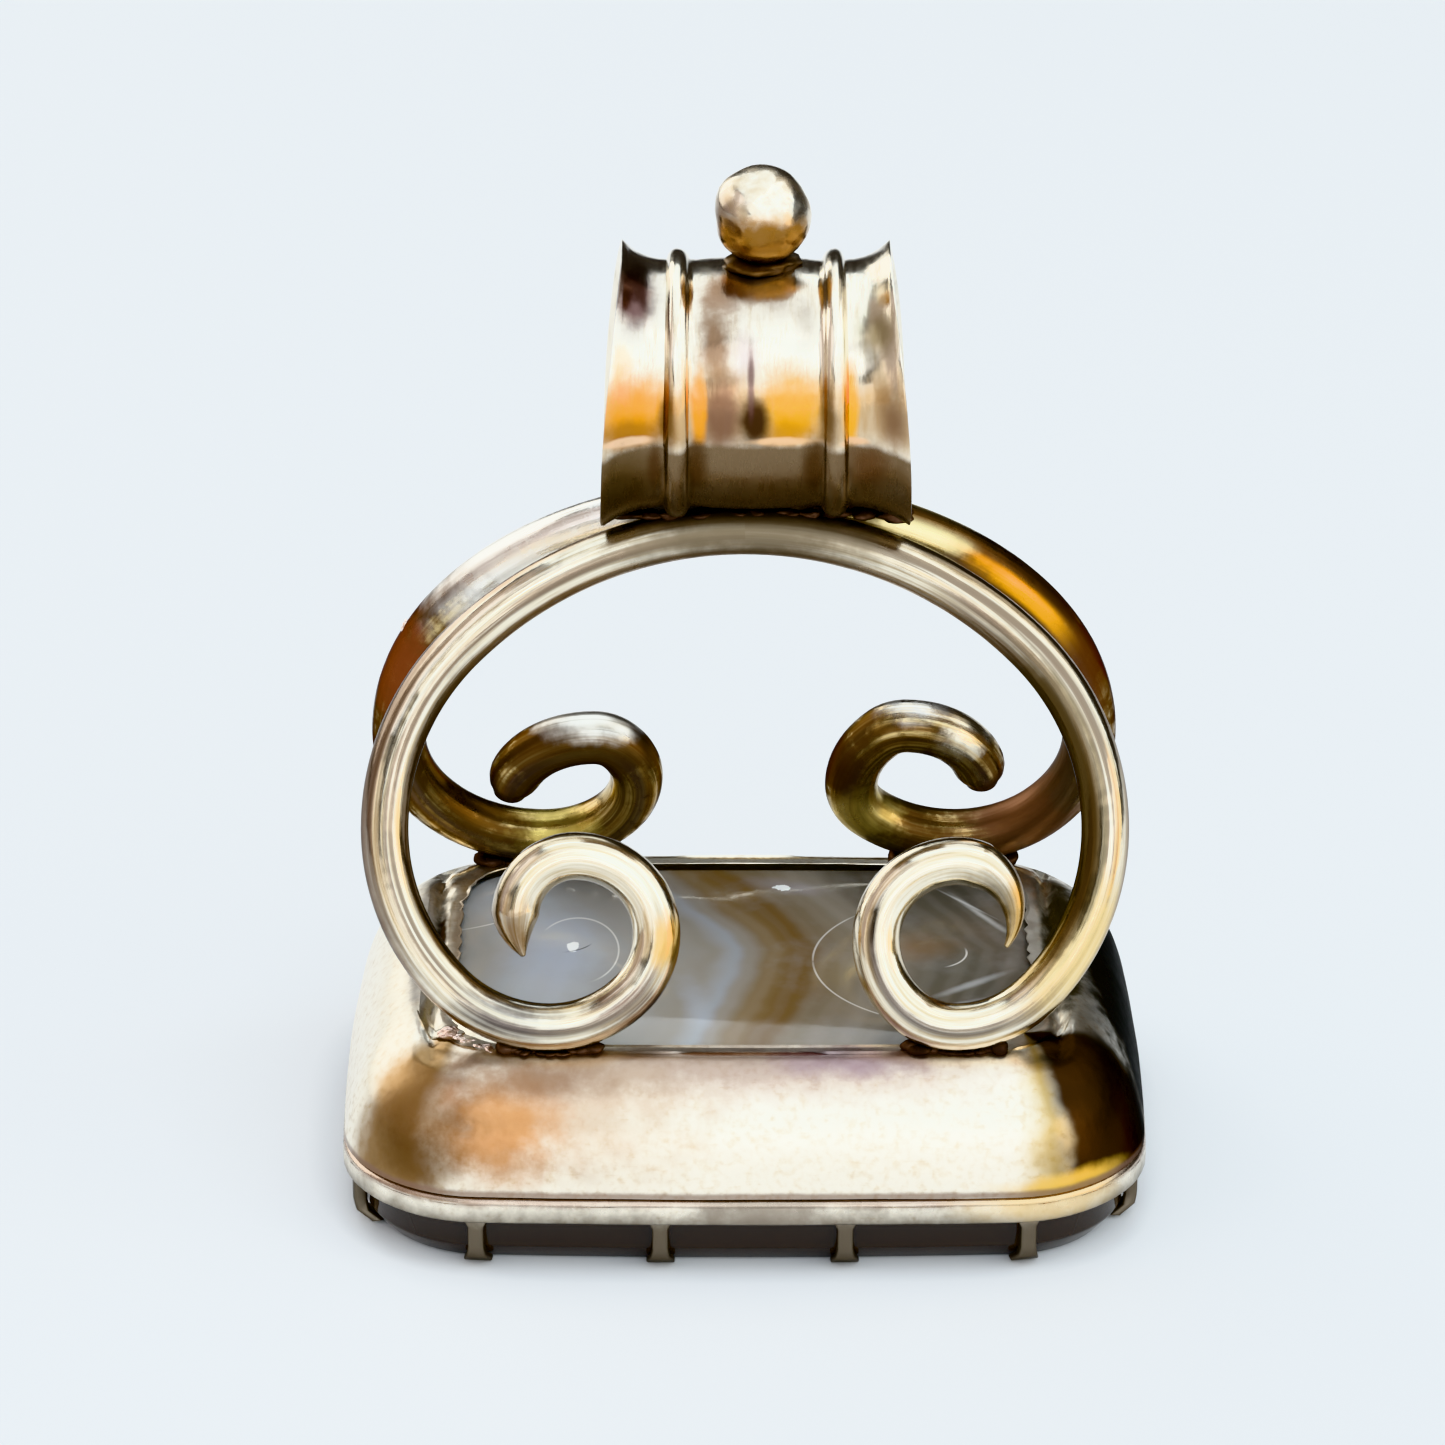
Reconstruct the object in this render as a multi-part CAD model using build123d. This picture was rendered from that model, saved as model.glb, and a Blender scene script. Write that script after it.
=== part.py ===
from build123d import *
import os
from math import asin, cos, radians, sin
from typing import NamedTuple

# A fob seal: an agate held between a claw band and a sloping collar, under a handle of two scrolled
# wires that carry a ribbed bail and a bead. Millimetres, +Z up. The origin is the middle of the
# stone's seal face, which is what the seal stands on. The front is -Y.

# Girdle, the widest outline of the setting
GIRDLE_WIDTH = 20.9
GIRDLE_DEPTH = 15.8
GIRDLE_CORNER = 3.3
GIRDLE_BOW = 0.30

# Rim round the window that shows the back of the stone. The collar's slope runs in from the
# girdle to it, at the short ends and at the long sides.
SLOPE_END_RUN = 1.875
SLOPE_SIDE_RUN = 1.95
RIM_CORNER = 2.5
RIM_BOW = 0.12
RIM_SIDE_LAND = 0.55
RIM_END_LAND = 1.05
WINDOW_CORNER = 1.9

# Collar, the sloping sheet between the girdle and the rim
COLLAR_WALL = 0.5
COLLAR_LIP = 0.2
COLLAR_RISE = 2.98

# Claw band below the collar
BAND_FLOOR = 1.46
BAND_HEIGHT = 0.66
BAND_WALL = 0.5
BAND_ROUND = 0.2
SEAM_GAP = 0.04

# Claws, evenly spaced round the band
CLAW_COUNT = 14
CLAW_SHIFT = 0.2
CLAW_WIDTH = 0.5
CLAW_FLARE = 0.78
CLAW_THICK = 0.34
CLAW_LIFT = 0.05
CLAW_LEAN = 0.42
CLAW_ROOT = 0.3

# Agate
STONE_CLEAR = 0.05
STONE_BEVEL = 0.5
STONE_BEVEL_IN = 0.42
STONE_RECESS = 0.17

# Two scrolled wires, each bent flat and leaned in over the stone. The centre line of their arch
# comes out to a margin inside the girdle.
FRONT_WIRE = 1.22
BACK_WIRE = 1.42
ARCH_MARGIN = 1.29
ARCH_RISE = 12.62
WIRE_SPACING = 0.1
SEAT_GAP = 0.02

# Bail, a ribbed tube lying left to right on the two wires
BAIL_BORE = 5.3
BAIL_BARREL = 6.3
BAIL_RIB = 6.84
BAIL_RIB_WIDTH = 0.66
BAIL_RIB_OUT = 2.0
BAIL_TOP_FLARE = 6.84
BAIL_FOOT_FLARE = 7.26
BAIL_TOP_WIDTH = 6.9
BAIL_FOOT_WIDTH = 8.0
BAIL_SINK = 0.26
BAIL_SHIFT = 0.27

# Bead on top of the bail
BEAD = 2.52
BEAD_SHIFT = 0.13
BEAD_LIFT = 0.08
BEAD_NECK = 1.1

# Sizes, heights and places that follow
RIM_WIDTH = GIRDLE_WIDTH - 2 * SLOPE_END_RUN
RIM_DEPTH = GIRDLE_DEPTH - 2 * SLOPE_SIDE_RUN
ARCH_HALF_WIDTH = GIRDLE_WIDTH / 2 - ARCH_MARGIN
SEAM_HEIGHT = BAND_FLOOR + BAND_HEIGHT + SEAM_GAP
RIM_HEIGHT = SEAM_HEIGHT + COLLAR_LIP + COLLAR_RISE
FOOT_OUT = (RIM_DEPTH - RIM_SIDE_LAND) / 2


class Outline(NamedTuple):
    """A rectangle with bowed sides and round corners, seen from above."""

    width: float
    depth: float
    corner: float
    bow: float


GIRDLE = Outline(width=GIRDLE_WIDTH, depth=GIRDLE_DEPTH, corner=GIRDLE_CORNER, bow=GIRDLE_BOW)
RIM = Outline(width=RIM_WIDTH, depth=RIM_DEPTH, corner=RIM_CORNER, bow=RIM_BOW)
WINDOW = Outline(
    width=RIM_WIDTH - 2 * RIM_END_LAND,
    depth=RIM_DEPTH - 2 * RIM_SIDE_LAND,
    corner=WINDOW_CORNER,
    bow=RIM_BOW,
)


class Level(NamedTuple):
    """One level of the collar's bulging slope, as shares of its inset and of its rise."""

    inset: float
    rise: float


COLLAR_SLOPE = (
    Level(inset=0.00, rise=0.00),
    Level(inset=0.13, rise=0.33),
    Level(inset=0.42, rise=0.70),
    Level(inset=1.00, rise=1.00),
)


class Scroll(NamedTuple):
    """One side of a wire. Distances out are shares of the arch's half width, heights of its rise.

    The wire runs from the top of the arch to its widest point, its foot on the rim, the inner side
    of the curl and the curl's crest. After the crest it turns on by curl_turn degrees at full
    thickness and by tip_turn degrees while it thins to tip_end of its radius.
    """

    widest_up: float
    foot_out: float
    inner_out: float
    inner_up: float
    crest_out: float
    crest_up: float
    curl_turn: float
    curl_radius: float
    tip_turn: float
    tip_radius: float
    tip_end: float
    tip_power: float


FRONT_LEFT = Scroll(
    widest_up=0.40,
    foot_out=0.543,
    inner_out=0.245,
    inner_up=0.188,
    crest_out=0.470,
    crest_up=0.345,
    curl_turn=88,
    curl_radius=0.167,
    tip_turn=25,
    tip_radius=0.262,
    tip_end=0.14,
    tip_power=1.3,
)
FRONT_RIGHT = Scroll(
    widest_up=0.40,
    foot_out=0.586,
    inner_out=0.364,
    inner_up=0.176,
    crest_out=0.590,
    crest_up=0.335,
    curl_turn=24,
    curl_radius=0.160,
    tip_turn=96,
    tip_radius=0.156,
    tip_end=0.12,
    tip_power=1.0,
)
BACK_LEFT = Scroll(
    widest_up=0.31,
    foot_out=0.590,
    inner_out=0.313,
    inner_up=0.190,
    crest_out=0.436,
    crest_up=0.306,
    curl_turn=55,
    curl_radius=0.248,
    tip_turn=26,
    tip_radius=0.25,
    tip_end=0.7,
    tip_power=4.0,
)
BACK_RIGHT = Scroll(
    widest_up=0.31,
    foot_out=0.620,
    inner_out=0.314,
    inner_up=0.163,
    crest_out=0.469,
    crest_up=0.342,
    curl_turn=62,
    curl_radius=0.224,
    tip_turn=25,
    tip_radius=0.22,
    tip_end=0.7,
    tip_power=4.0,
)


def drawn_in(outline, inset):
    """An outline moved in all round."""
    return Outline(
        width=outline.width - 2 * inset,
        depth=outline.depth - 2 * inset,
        corner=outline.corner - inset,
        bow=outline.bow,
    )


def between(start, end, share):
    """The outline at a share of the way from one outline to another."""
    return Outline(*(a + (b - a) * share for a, b in zip(start, end)))


def cushion(outline, height):
    """An outline as a face at a height."""
    x = outline.width / 2 - outline.bow
    y = outline.depth / 2 - outline.bow
    sides = [
        ThreePointArc((-x, -y), (0, -outline.depth / 2), (x, -y)),
        ThreePointArc((x, -y), (outline.width / 2, 0), (x, y)),
        ThreePointArc((x, y), (0, outline.depth / 2), (-x, y)),
        ThreePointArc((-x, y), (-outline.width / 2, 0), (-x, -y)),
    ]
    face = make_face(sides)
    return Pos(0, 0, height) * fillet(face.vertices(), outline.corner)


def slope_faces(base, top):
    """Faces up the collar's bulging slope, from its base outline to its top one."""
    foot = SEAM_HEIGHT + COLLAR_LIP
    return [
        cushion(between(base, top, level.inset), foot + COLLAR_RISE * level.rise)
        for level in COLLAR_SLOPE
    ]


def collar_body(base, top):
    """The solid inside the collar's lip and slope."""
    lip = extrude(cushion(base, SEAM_HEIGHT), COLLAR_LIP)
    return lip + loft(slope_faces(base, top))


def make_collar():
    """The sloping sheet with its lip below and its flat rim round the window."""
    return collar_body(GIRDLE, RIM) - collar_body(drawn_in(GIRDLE, COLLAR_WALL), WINDOW)


def make_stone(clearance):
    """The agate: bevelled seal face, upright girdle and a back that fills the collar's hollow."""
    side = drawn_in(GIRDLE, max(COLLAR_WALL, BAND_WALL) + clearance)
    faces = [cushion(drawn_in(side, STONE_BEVEL_IN), 0), cushion(side, STONE_BEVEL)]
    faces += slope_faces(side, drawn_in(WINDOW, clearance))
    body = loft(faces, ruled=True)
    above = extrude(cushion(GIRDLE, RIM_HEIGHT - STONE_RECESS), RIM_HEIGHT)
    return body - above


def claw(place):
    """One claw at a place on the girdle: X along the outline, Y inwards, Z up."""
    root = BAND_WALL - CLAW_THICK
    sections = []
    for height, width, inwards in (
        (BAND_FLOOR + CLAW_ROOT, CLAW_WIDTH, root),
        (BAND_FLOOR, CLAW_WIDTH, root),
        (STONE_BEVEL, CLAW_WIDTH, root),
        (CLAW_LIFT, CLAW_FLARE, root + CLAW_LEAN),
    ):
        middle = Pos(0, inwards + CLAW_THICK / 2, height)
        sections.append(place * middle * Rectangle(width, CLAW_THICK))
    return loft(sections, ruled=True)


def make_claw_band():
    """The band round the stone's girdle, with its claws bent over the bevel."""
    outer = extrude(cushion(GIRDLE, BAND_FLOOR), BAND_HEIGHT)
    top_edges = outer.faces().sort_by(Axis.Z)[-1].edges()
    outer = fillet(top_edges, BAND_ROUND)
    band = outer - extrude(cushion(drawn_in(GIRDLE, BAND_WALL), BAND_FLOOR), BAND_HEIGHT)
    outline = cushion(GIRDLE, 0).faces()[0].outer_wire()
    start = outline.param_at_point(Vector(0, -GIRDLE_DEPTH / 2, 0))
    claws = []
    for index in range(CLAW_COUNT):
        along = (start + (index + 0.5) / CLAW_COUNT + CLAW_SHIFT / outline.length) % 1
        point = outline.position_at(along)
        tangent = outline.tangent_at(along)
        inward = Vector(-tangent.Y, tangent.X, 0)
        if inward.dot(point) > 0:
            tangent = tangent * -1
        claws.append(claw(Plane(origin=point, x_dir=tangent, z_dir=(0, 0, 1)).location))
    return band + claws - make_stone(STONE_CLEAR / 2)


def quarter(start, heading, turn, reach, rise):
    """Two tangent arcs that turn a path by a quarter, each by half of it.

    The path starts at a point with a heading, goes reach along that heading and rise across it.
    turn is 1 to the left and -1 to the right.
    """
    near, far = sin(radians(45)), 1 - cos(radians(45))
    first_radius = (near * reach - far * rise) / (near - far)
    last_radius = (near * rise - far * reach) / (near - far)
    first = JernArc(start, heading, first_radius, 45 * turn)
    last = JernArc(first @ 1, first % 1, last_radius, 45 * turn)
    return [first, last]


def scroll_path(scroll, side):
    """Full arcs of one side of a wire, flat, from the top of the arch to where its tip starts.

    side is -1 for the left and 1 for the right.
    """
    wide = ARCH_HALF_WIDTH
    tall = ARCH_RISE
    turn = -side
    stations = (
        (0, tall),
        (wide, tall * scroll.widest_up),
        (wide * scroll.foot_out, 0),
        (wide * scroll.inner_out, tall * scroll.inner_up),
        (wide * scroll.crest_out, tall * scroll.crest_up),
    )
    arcs = []
    heading = Vector(side, 0)
    point = Vector(0, tall)
    across = True
    for here, there in zip(stations, stations[1:]):
        sideways = abs(there[0] - here[0])
        upright = abs(there[1] - here[1])
        reach, rise = (sideways, upright) if across else (upright, sideways)
        arcs += quarter(point, heading, turn, reach, rise)
        point = arcs[-1] @ 1
        heading = arcs[-1] % 1
        across = not across
    arcs.append(JernArc(point, heading, scroll.curl_radius * wide, scroll.curl_turn * turn))
    return arcs


def tip(start, heading, scroll, side, radius):
    """The thinning end of a wire, flat, lofted through circles along its last arc."""
    arc = JernArc(start, heading, scroll.tip_radius * ARCH_HALF_WIDTH, -side * scroll.tip_turn)
    sections = []
    for share in (0, 0.3, 0.6, 0.85, 1):
        thin = 1 - (1 - scroll.tip_end) * share**scroll.tip_power
        section = Plane(origin=arc @ share, x_dir=(0, 0, 1), z_dir=arc % share)
        sections.append(section * Circle(radius * thin))
    return loft(sections)


def scroll_side(scroll, side, radius):
    """One side of a wire, flat: a round wire along its arcs with its thinned tip."""
    arcs = scroll_path(scroll, side)
    path = Wire([arc.edge() for arc in arcs])
    start = Plane(origin=arcs[0] @ 0, x_dir=(0, 0, 1), z_dir=arcs[0] % 0)
    run = sweep(start * Circle(radius), path=path)
    end = tip(arcs[-1] @ 1, arcs[-1] % 1, scroll, side, radius)
    return run + end


def lean_angle(radius):
    """How far a wire leans in, in degrees, so that its foot is on the rim and its top beside the other."""
    top_out = radius + WIRE_SPACING / 2
    return asin((FOOT_OUT - top_out) / ARCH_RISE)


def arch_top(diameter):
    """Height of a leaned wire's centre line at the top of its arch."""
    radius = diameter / 2
    return RIM_HEIGHT + SEAT_GAP + radius + ARCH_RISE * cos(lean_angle(radius))


def make_scroll(left, right, diameter, face):
    """A scrolled wire standing on the rim. face is -1 for the front one and 1 for the back one."""
    radius = diameter / 2
    flat = scroll_side(left, -1, radius) + scroll_side(right, 1, radius)
    lean = lean_angle(radius)
    stand = Plane(
        origin=(0, face * FOOT_OUT, RIM_HEIGHT + SEAT_GAP + radius),
        x_dir=(1, 0, 0),
        z_dir=(0, -cos(lean), -face * sin(lean)),
    )
    return stand.location * flat - bail_outside(SEAT_GAP)


def bail_place():
    """Where the bail's middle is: its axis is along X."""
    height = arch_top(FRONT_WIRE) + FRONT_WIRE / 2 + BAIL_RIB / 2 - BAIL_SINK
    return Pos(BAIL_SHIFT, 0, height)


def bail_profile(growth):
    """The bail's outside above its axis, as a flat face, thickened by a growth."""
    reach = BAIL_FOOT_WIDTH / 2 + growth
    barrel = BAIL_BARREL / 2 + growth
    crest = BAIL_RIB / 2 + growth
    top_flare = BAIL_TOP_FLARE / 2 + growth
    foot_flare = BAIL_FOOT_FLARE / 2 + growth
    rib_in = BAIL_RIB_OUT - BAIL_RIB_WIDTH / 2
    rib_out = BAIL_RIB_OUT + BAIL_RIB_WIDTH / 2
    top_at = BAIL_TOP_WIDTH / 2
    edges = [Line((-rib_in, barrel), (rib_in, barrel)), Line((-reach, 0), (reach, 0))]
    for side in (-1, 1):
        edges += [
            ThreePointArc((side * rib_in, barrel), (side * BAIL_RIB_OUT, crest), (side * rib_out, barrel)),
            ThreePointArc((side * rib_out, barrel), (side * top_at, top_flare), (side * reach, foot_flare)),
            Line((side * reach, foot_flare), (side * reach, 0)),
        ]
    return make_face(edges)


def bail_outside(growth):
    """The bail's outside as a solid of revolution with slanted ends, thickened by a growth."""
    body = revolve(Plane.XY * bail_profile(growth), Axis.X)
    top = BAIL_TOP_WIDTH / 2 + growth
    foot = BAIL_FOOT_WIDTH / 2 + growth
    tall = BAIL_FOOT_FLARE / 2
    spread = (foot - top) / 2
    wedge = make_face(
        Polyline(
            (-foot - spread, -2 * tall),
            (foot + spread, -2 * tall),
            (top - spread, 2 * tall),
            (-top + spread, 2 * tall),
            close=True,
        )
    )
    keep = extrude(Plane.XZ * wedge, 2 * tall, both=True)
    return bail_place() * (body & keep)


def make_bail():
    """The ribbed tube with its bead soldered on top, one solid of metal."""
    place = bail_place()
    bead_height = BAIL_BARREL / 2 + BEAD / 2 + BEAD_LIFT
    bead = Pos(BEAD_SHIFT, 0, bead_height) * Sphere(BEAD / 2)
    neck = Pos(BEAD_SHIFT, 0, bead_height / 2) * Cylinder(BEAD_NECK / 2, bead_height)
    bore = Rot(0, 90, 0) * Cylinder(BAIL_BORE / 2, 2 * BAIL_FOOT_WIDTH)
    return bail_outside(0) + place * (bead + neck) - place * bore


NODES = {
    "seal_stone": make_stone(STONE_CLEAR),
    "claw_band": make_claw_band(),
    "collar": make_collar(),
    "front_scroll": make_scroll(FRONT_LEFT, FRONT_RIGHT, FRONT_WIRE, -1),
    "back_scroll": make_scroll(BACK_LEFT, BACK_RIGHT, BACK_WIRE, 1),
    "bail": make_bail(),
}

os.makedirs("parts", exist_ok=True)
for name, solid in NODES.items():
    export_step(solid, os.path.join("parts", name + ".step"))
    box = solid.bounding_box()
    print(name, len(solid.solids()), round(solid.volume, 2), box.min, box.max)
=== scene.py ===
import logging
import math
import random
from dataclasses import astuple, dataclass
from enum import Enum
from functools import reduce

import bmesh
import bpy
from mathutils import Matrix, Vector, noise


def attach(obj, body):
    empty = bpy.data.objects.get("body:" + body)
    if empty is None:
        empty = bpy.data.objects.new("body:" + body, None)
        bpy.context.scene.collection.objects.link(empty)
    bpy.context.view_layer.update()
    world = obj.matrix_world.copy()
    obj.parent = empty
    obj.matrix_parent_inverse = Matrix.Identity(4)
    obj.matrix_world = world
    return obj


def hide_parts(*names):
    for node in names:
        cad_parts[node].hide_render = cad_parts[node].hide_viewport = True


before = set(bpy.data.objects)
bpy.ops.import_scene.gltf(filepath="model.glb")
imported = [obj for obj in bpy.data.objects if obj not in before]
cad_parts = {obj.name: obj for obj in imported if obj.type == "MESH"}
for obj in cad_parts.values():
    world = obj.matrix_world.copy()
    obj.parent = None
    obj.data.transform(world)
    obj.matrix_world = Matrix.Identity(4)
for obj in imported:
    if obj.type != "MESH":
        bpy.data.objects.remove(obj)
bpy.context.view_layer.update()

# A gold fob seal: an agate in a claw band and a sloping collar, under two scrolled wires that carry a
# ribbed bail with a bead. Sizes are in millimetres in the part's own frame: +Z up, -Y the front.
# Meshes are made in millimetres and scaled to metres when they are finished.

LOG = logging.getLogger("fob_seal")
MM = 0.001
BODY = "root"
MERGE = 0.0005  # points nearer than this are one
FOOT_HEIGHT = 5.36  # where the wires' feet stand on the rim
FOOT_DEPTH = 5.675  # how far in front of the middle, or behind it, they stand
Colour = tuple[float, float, float]
Point = tuple[float, float, float]
Mesh = bmesh.types.BMesh
Vert = bmesh.types.BMVert
Edge = bmesh.types.BMEdge
Material = bpy.types.Material
Socket = bpy.types.NodeSocket


class Slot(Enum):
    """The record's material slots, one given with each piece."""

    AGATE = "agate"
    SETTING = "gold_setting"
    WIRE = "gold_wire"
    BAIL = "gold_bail"


class Grain(Enum):
    """How a metal surface was worked, which sets the run of its fine marks."""

    DRAWN = "drawn wire, marks along its length"
    SHEET = "rolled sheet, short scratches every way"
    TURNED = "turned tube, marks round its axis"
    CAST = "cast or melted, soft lumps"


class Graph:
    """The nodes of one material, wired by short calls. Lengths in it are millimetres."""

    def __init__(self, name: str) -> None:
        """Starts a material with one shader and its object coordinates.

        Args:
            name: The material's name.
        """
        self.material = bpy.data.materials.new(name)
        self.material.use_nodes = True
        self.nodes = self.material.node_tree.nodes
        self.links = self.material.node_tree.links
        self.nodes.clear()
        output = self.nodes.new("ShaderNodeOutputMaterial")
        self.shader = self.nodes.new("ShaderNodeBsdfPrincipled")
        self.links.new(self.shader.outputs["BSDF"], output.inputs["Surface"])
        self.place = self.moved(self.node("TexCoord", "Object", {}), scale=(1 / MM,) * 3)

    def feed(self, socket: Socket, value: object) -> None:
        """Links an output to a socket, or sets the socket's own value.

        Args:
            socket: The input socket.
            value: An output socket, a number, a colour or a vector.
        """
        if isinstance(value, Socket):
            self.links.new(value, socket)
        elif socket.type == "RGBA":
            socket.default_value = (*value, 1.0)
        else:
            socket.default_value = value

    def node(self, kind: str, result: str, inputs: dict[str | int, object], **settings: object) -> Socket:
        """Adds a node.

        Args:
            kind: Its type, without the leading ShaderNode.
            result: The name of the output that is used.
            inputs: What its input sockets take, by name or place.
            settings: Its own settings.

        Returns:
            The output.
        """
        node = self.nodes.new("ShaderNode" + kind)
        for setting, value in settings.items():
            setattr(node, setting, value)
        for name, value in inputs.items():
            self.feed(node.inputs[name], value)
        return node.outputs[result]

    def shade(self, **inputs: object) -> None:
        """Sets inputs of the shader. An underscore in a name stands for a space."""
        for name, value in inputs.items():
            self.feed(self.shader.inputs[name.replace("_", " ")], value)

    def moved(
        self,
        vector: Socket,
        shift: Point = (0, 0, 0),
        turn: Point = (0, 0, 0),
        scale: Point = (1, 1, 1),
    ) -> Socket:
        """Returns coordinates scaled, then turned by degrees, then shifted."""
        inputs = {"Vector": vector, "Location": shift, "Rotation": [*map(math.radians, turn)], "Scale": scale}
        return self.node("Mapping", "Vector", inputs)

    def attribute(self, name: str) -> Socket:
        """Returns the vector attribute of that name."""
        return self.node("Attribute", "Vector", {}, attribute_name=name)

    def cloud(self, vector: Socket, scale: float, detail: float = 3.0, rough: float = 0.55) -> Socket:
        """Returns noise from 0 to 1 of a scale per millimetre, with octaves of detail and their weight."""
        inputs = {"Vector": vector, "Scale": scale, "Detail": detail, "Roughness": rough}
        return self.node("TexNoise", "Fac", inputs)

    def wander(self, spread: float, scale: float, detail: float, rough: float) -> Socket:
        """Returns noise on the piece's own coordinates, from -spread to spread."""
        return self.minus(self.times(self.cloud(self.place, scale, detail, rough), 2 * spread), spread)

    def maths(self, operation: str, *values: object) -> Socket:
        """Returns the result of one arithmetic step on values or sockets."""
        return self.node("Math", "Value", dict(enumerate(values)), operation=operation)

    def plus(self, first: object, second: object) -> Socket:
        """Returns the sum of two values or sockets."""
        return self.maths("ADD", first, second)

    def minus(self, first: object, second: object) -> Socket:
        """Returns the difference of two values or sockets."""
        return self.maths("SUBTRACT", first, second)

    def times(self, *values: object) -> Socket:
        """Returns the product of values or sockets."""
        return reduce(lambda product, value: self.maths("MULTIPLY", product, value), values)

    def length(self, vector: Socket) -> Socket:
        """Returns the length of a vector."""
        return self.node("VectorMath", "Value", {0: vector}, operation="LENGTH")

    def split(self, vector: Socket) -> list[Socket]:
        """Takes a vector apart.

        Args:
            vector: The vector.

        Returns:
            Its X, Y and Z.
        """
        node = self.nodes.new("ShaderNodeSeparateXYZ")
        self.feed(node.inputs["Vector"], vector)
        return [node.outputs[axis] for axis in "XYZ"]

    def ease(self, value: Socket, start: float, end: float, low: float = 0.0, high: float = 1.0) -> Socket:
        """Returns low where a value is at the start or before, high at the end or past it, eased between."""
        inputs = {"Value": value, "From Min": start, "From Max": end, "To Min": low, "To Max": high}
        return self.node("MapRange", "Result", inputs, interpolation_type="SMOOTHSTEP")

    def within(self, value: Socket, start: float, end: float, soft: float) -> Socket:
        """Returns 1 where a value is between start and end and 0 elsewhere, over edges of half width soft."""
        first = self.ease(value, start - soft, start + soft)
        return self.times(first, self.ease(value, end + soft, end - soft))

    def blend(self, share: object, first: object, second: object) -> Socket:
        """Returns a mix of two colours with a share of the second."""
        return self.node("Mix", "Result", {"Factor": share, "A": first, "B": second}, data_type="RGBA")

    def bump(self, height: Socket, depth: float, normal: Socket | None = None) -> Socket:
        """Returns the normal of a height of a depth in millimetres, laid over another normal."""
        under = {} if normal is None else {"Normal": normal}
        return self.node("Bump", "Normal", {"Height": height, "Distance": depth * MM, **under})

    def near(
        self,
        where: Point,
        reach: Point,
        ragged: float = 0.3,
        soft: float = 0.35,
        grit: float = 1.3,
    ) -> Socket:
        """How near a point of the surface is to a place, with a ragged edge.

        Args:
            where: The middle of the place.
            reach: How far it reaches along X, Y and Z.
            ragged: How much noise breaks up its edge.
            soft: Half the width of its edge, as a share of its reach.
            grit: Features per millimetre of its ragged edge.

        Returns:
            1 in the middle of the place and 0 outside it.
        """
        edge = 0.8
        scale = tuple(1 / length for length in reach)
        shift = tuple(-middle / length for middle, length in zip(where, reach))
        distance = self.length(self.moved(self.place, shift=shift, scale=scale))
        distance = self.plus(distance, self.wander(ragged, grit, 4.0, 0.6))
        return self.ease(distance, edge + soft, edge - soft)

    def between_angles(self, where: Point, start: float, end: float, soft: float) -> Socket:
        """How far a point lies inside a wedge about an upright line, with ragged edges.

        Args:
            where: A point of the line.
            start: The wedge's first angle in degrees, from +X towards +Y.
            end: Its last angle.
            soft: Half the width of its edges in degrees.

        Returns:
            1 inside the wedge and 0 outside it.
        """
        x, y, _ = self.split(self.moved(self.place, shift=tuple(-part for part in where)))
        angle = self.times(self.maths("ARCTAN2", y, x), 180 / math.pi)
        return self.within(self.plus(angle, self.wander(soft, 0.9, 2.0, 0.5)), start, end, soft)


@dataclass(frozen=True)
class StainOrLight:
    """A place on the metal with its own colour: a stain, or light or shade painted into the colour."""

    where: Point
    reach: Point
    colour: Colour
    strength: float = 1.0
    soft: float = 0.35
    ragged: float = 0.3
    dulls: float = 0.0
    streaky: float = 0.0

    def share(self, graph: Graph) -> Socket:
        """How much of the patch's colour a point of the surface has."""
        return graph.near(self.where, self.reach, self.ragged, self.soft)


@dataclass(frozen=True)
class CornerStainOrLight:
    """A stain, or painted light or shade, that fills the wedge of a rounded corner. Angles are degrees from
    +X towards +Y.
    """

    where: Point
    start: float
    end: float
    soft: float
    colour: Colour
    strength: float = 1.0
    dulls: float = 0.0
    streaky: float = 0.0

    def share(self, graph: Graph) -> Socket:
        """How much of the patch's colour a point of the surface has."""
        return graph.between_angles(self.where, self.start, self.end, self.soft)


@dataclass(frozen=True)
class LongStainOrLight:
    """A stain, or painted light or shade, that runs along a wire, between two lines on its round.

    A line is -1 on the outside of the bend and 1 on its inside.
    """

    where: Point
    reach: Point
    start: float
    end: float
    colour: Colour
    strength: float = 1.0
    dulls: float = 0.0
    streaky: float = 0.0
    soft: float = 0.12

    def share(self, graph: Graph) -> Socket:
        """How much of the patch's colour a point of the surface has.

        Args:
            graph: The material's nodes.

        Returns:
            The share, from 0 to 1.
        """
        _, inwards, _ = graph.split(graph.attribute("grain"))
        strip = graph.within(inwards, self.start, self.end, self.soft)
        return graph.times(strip, graph.near(self.where, self.reach))


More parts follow.
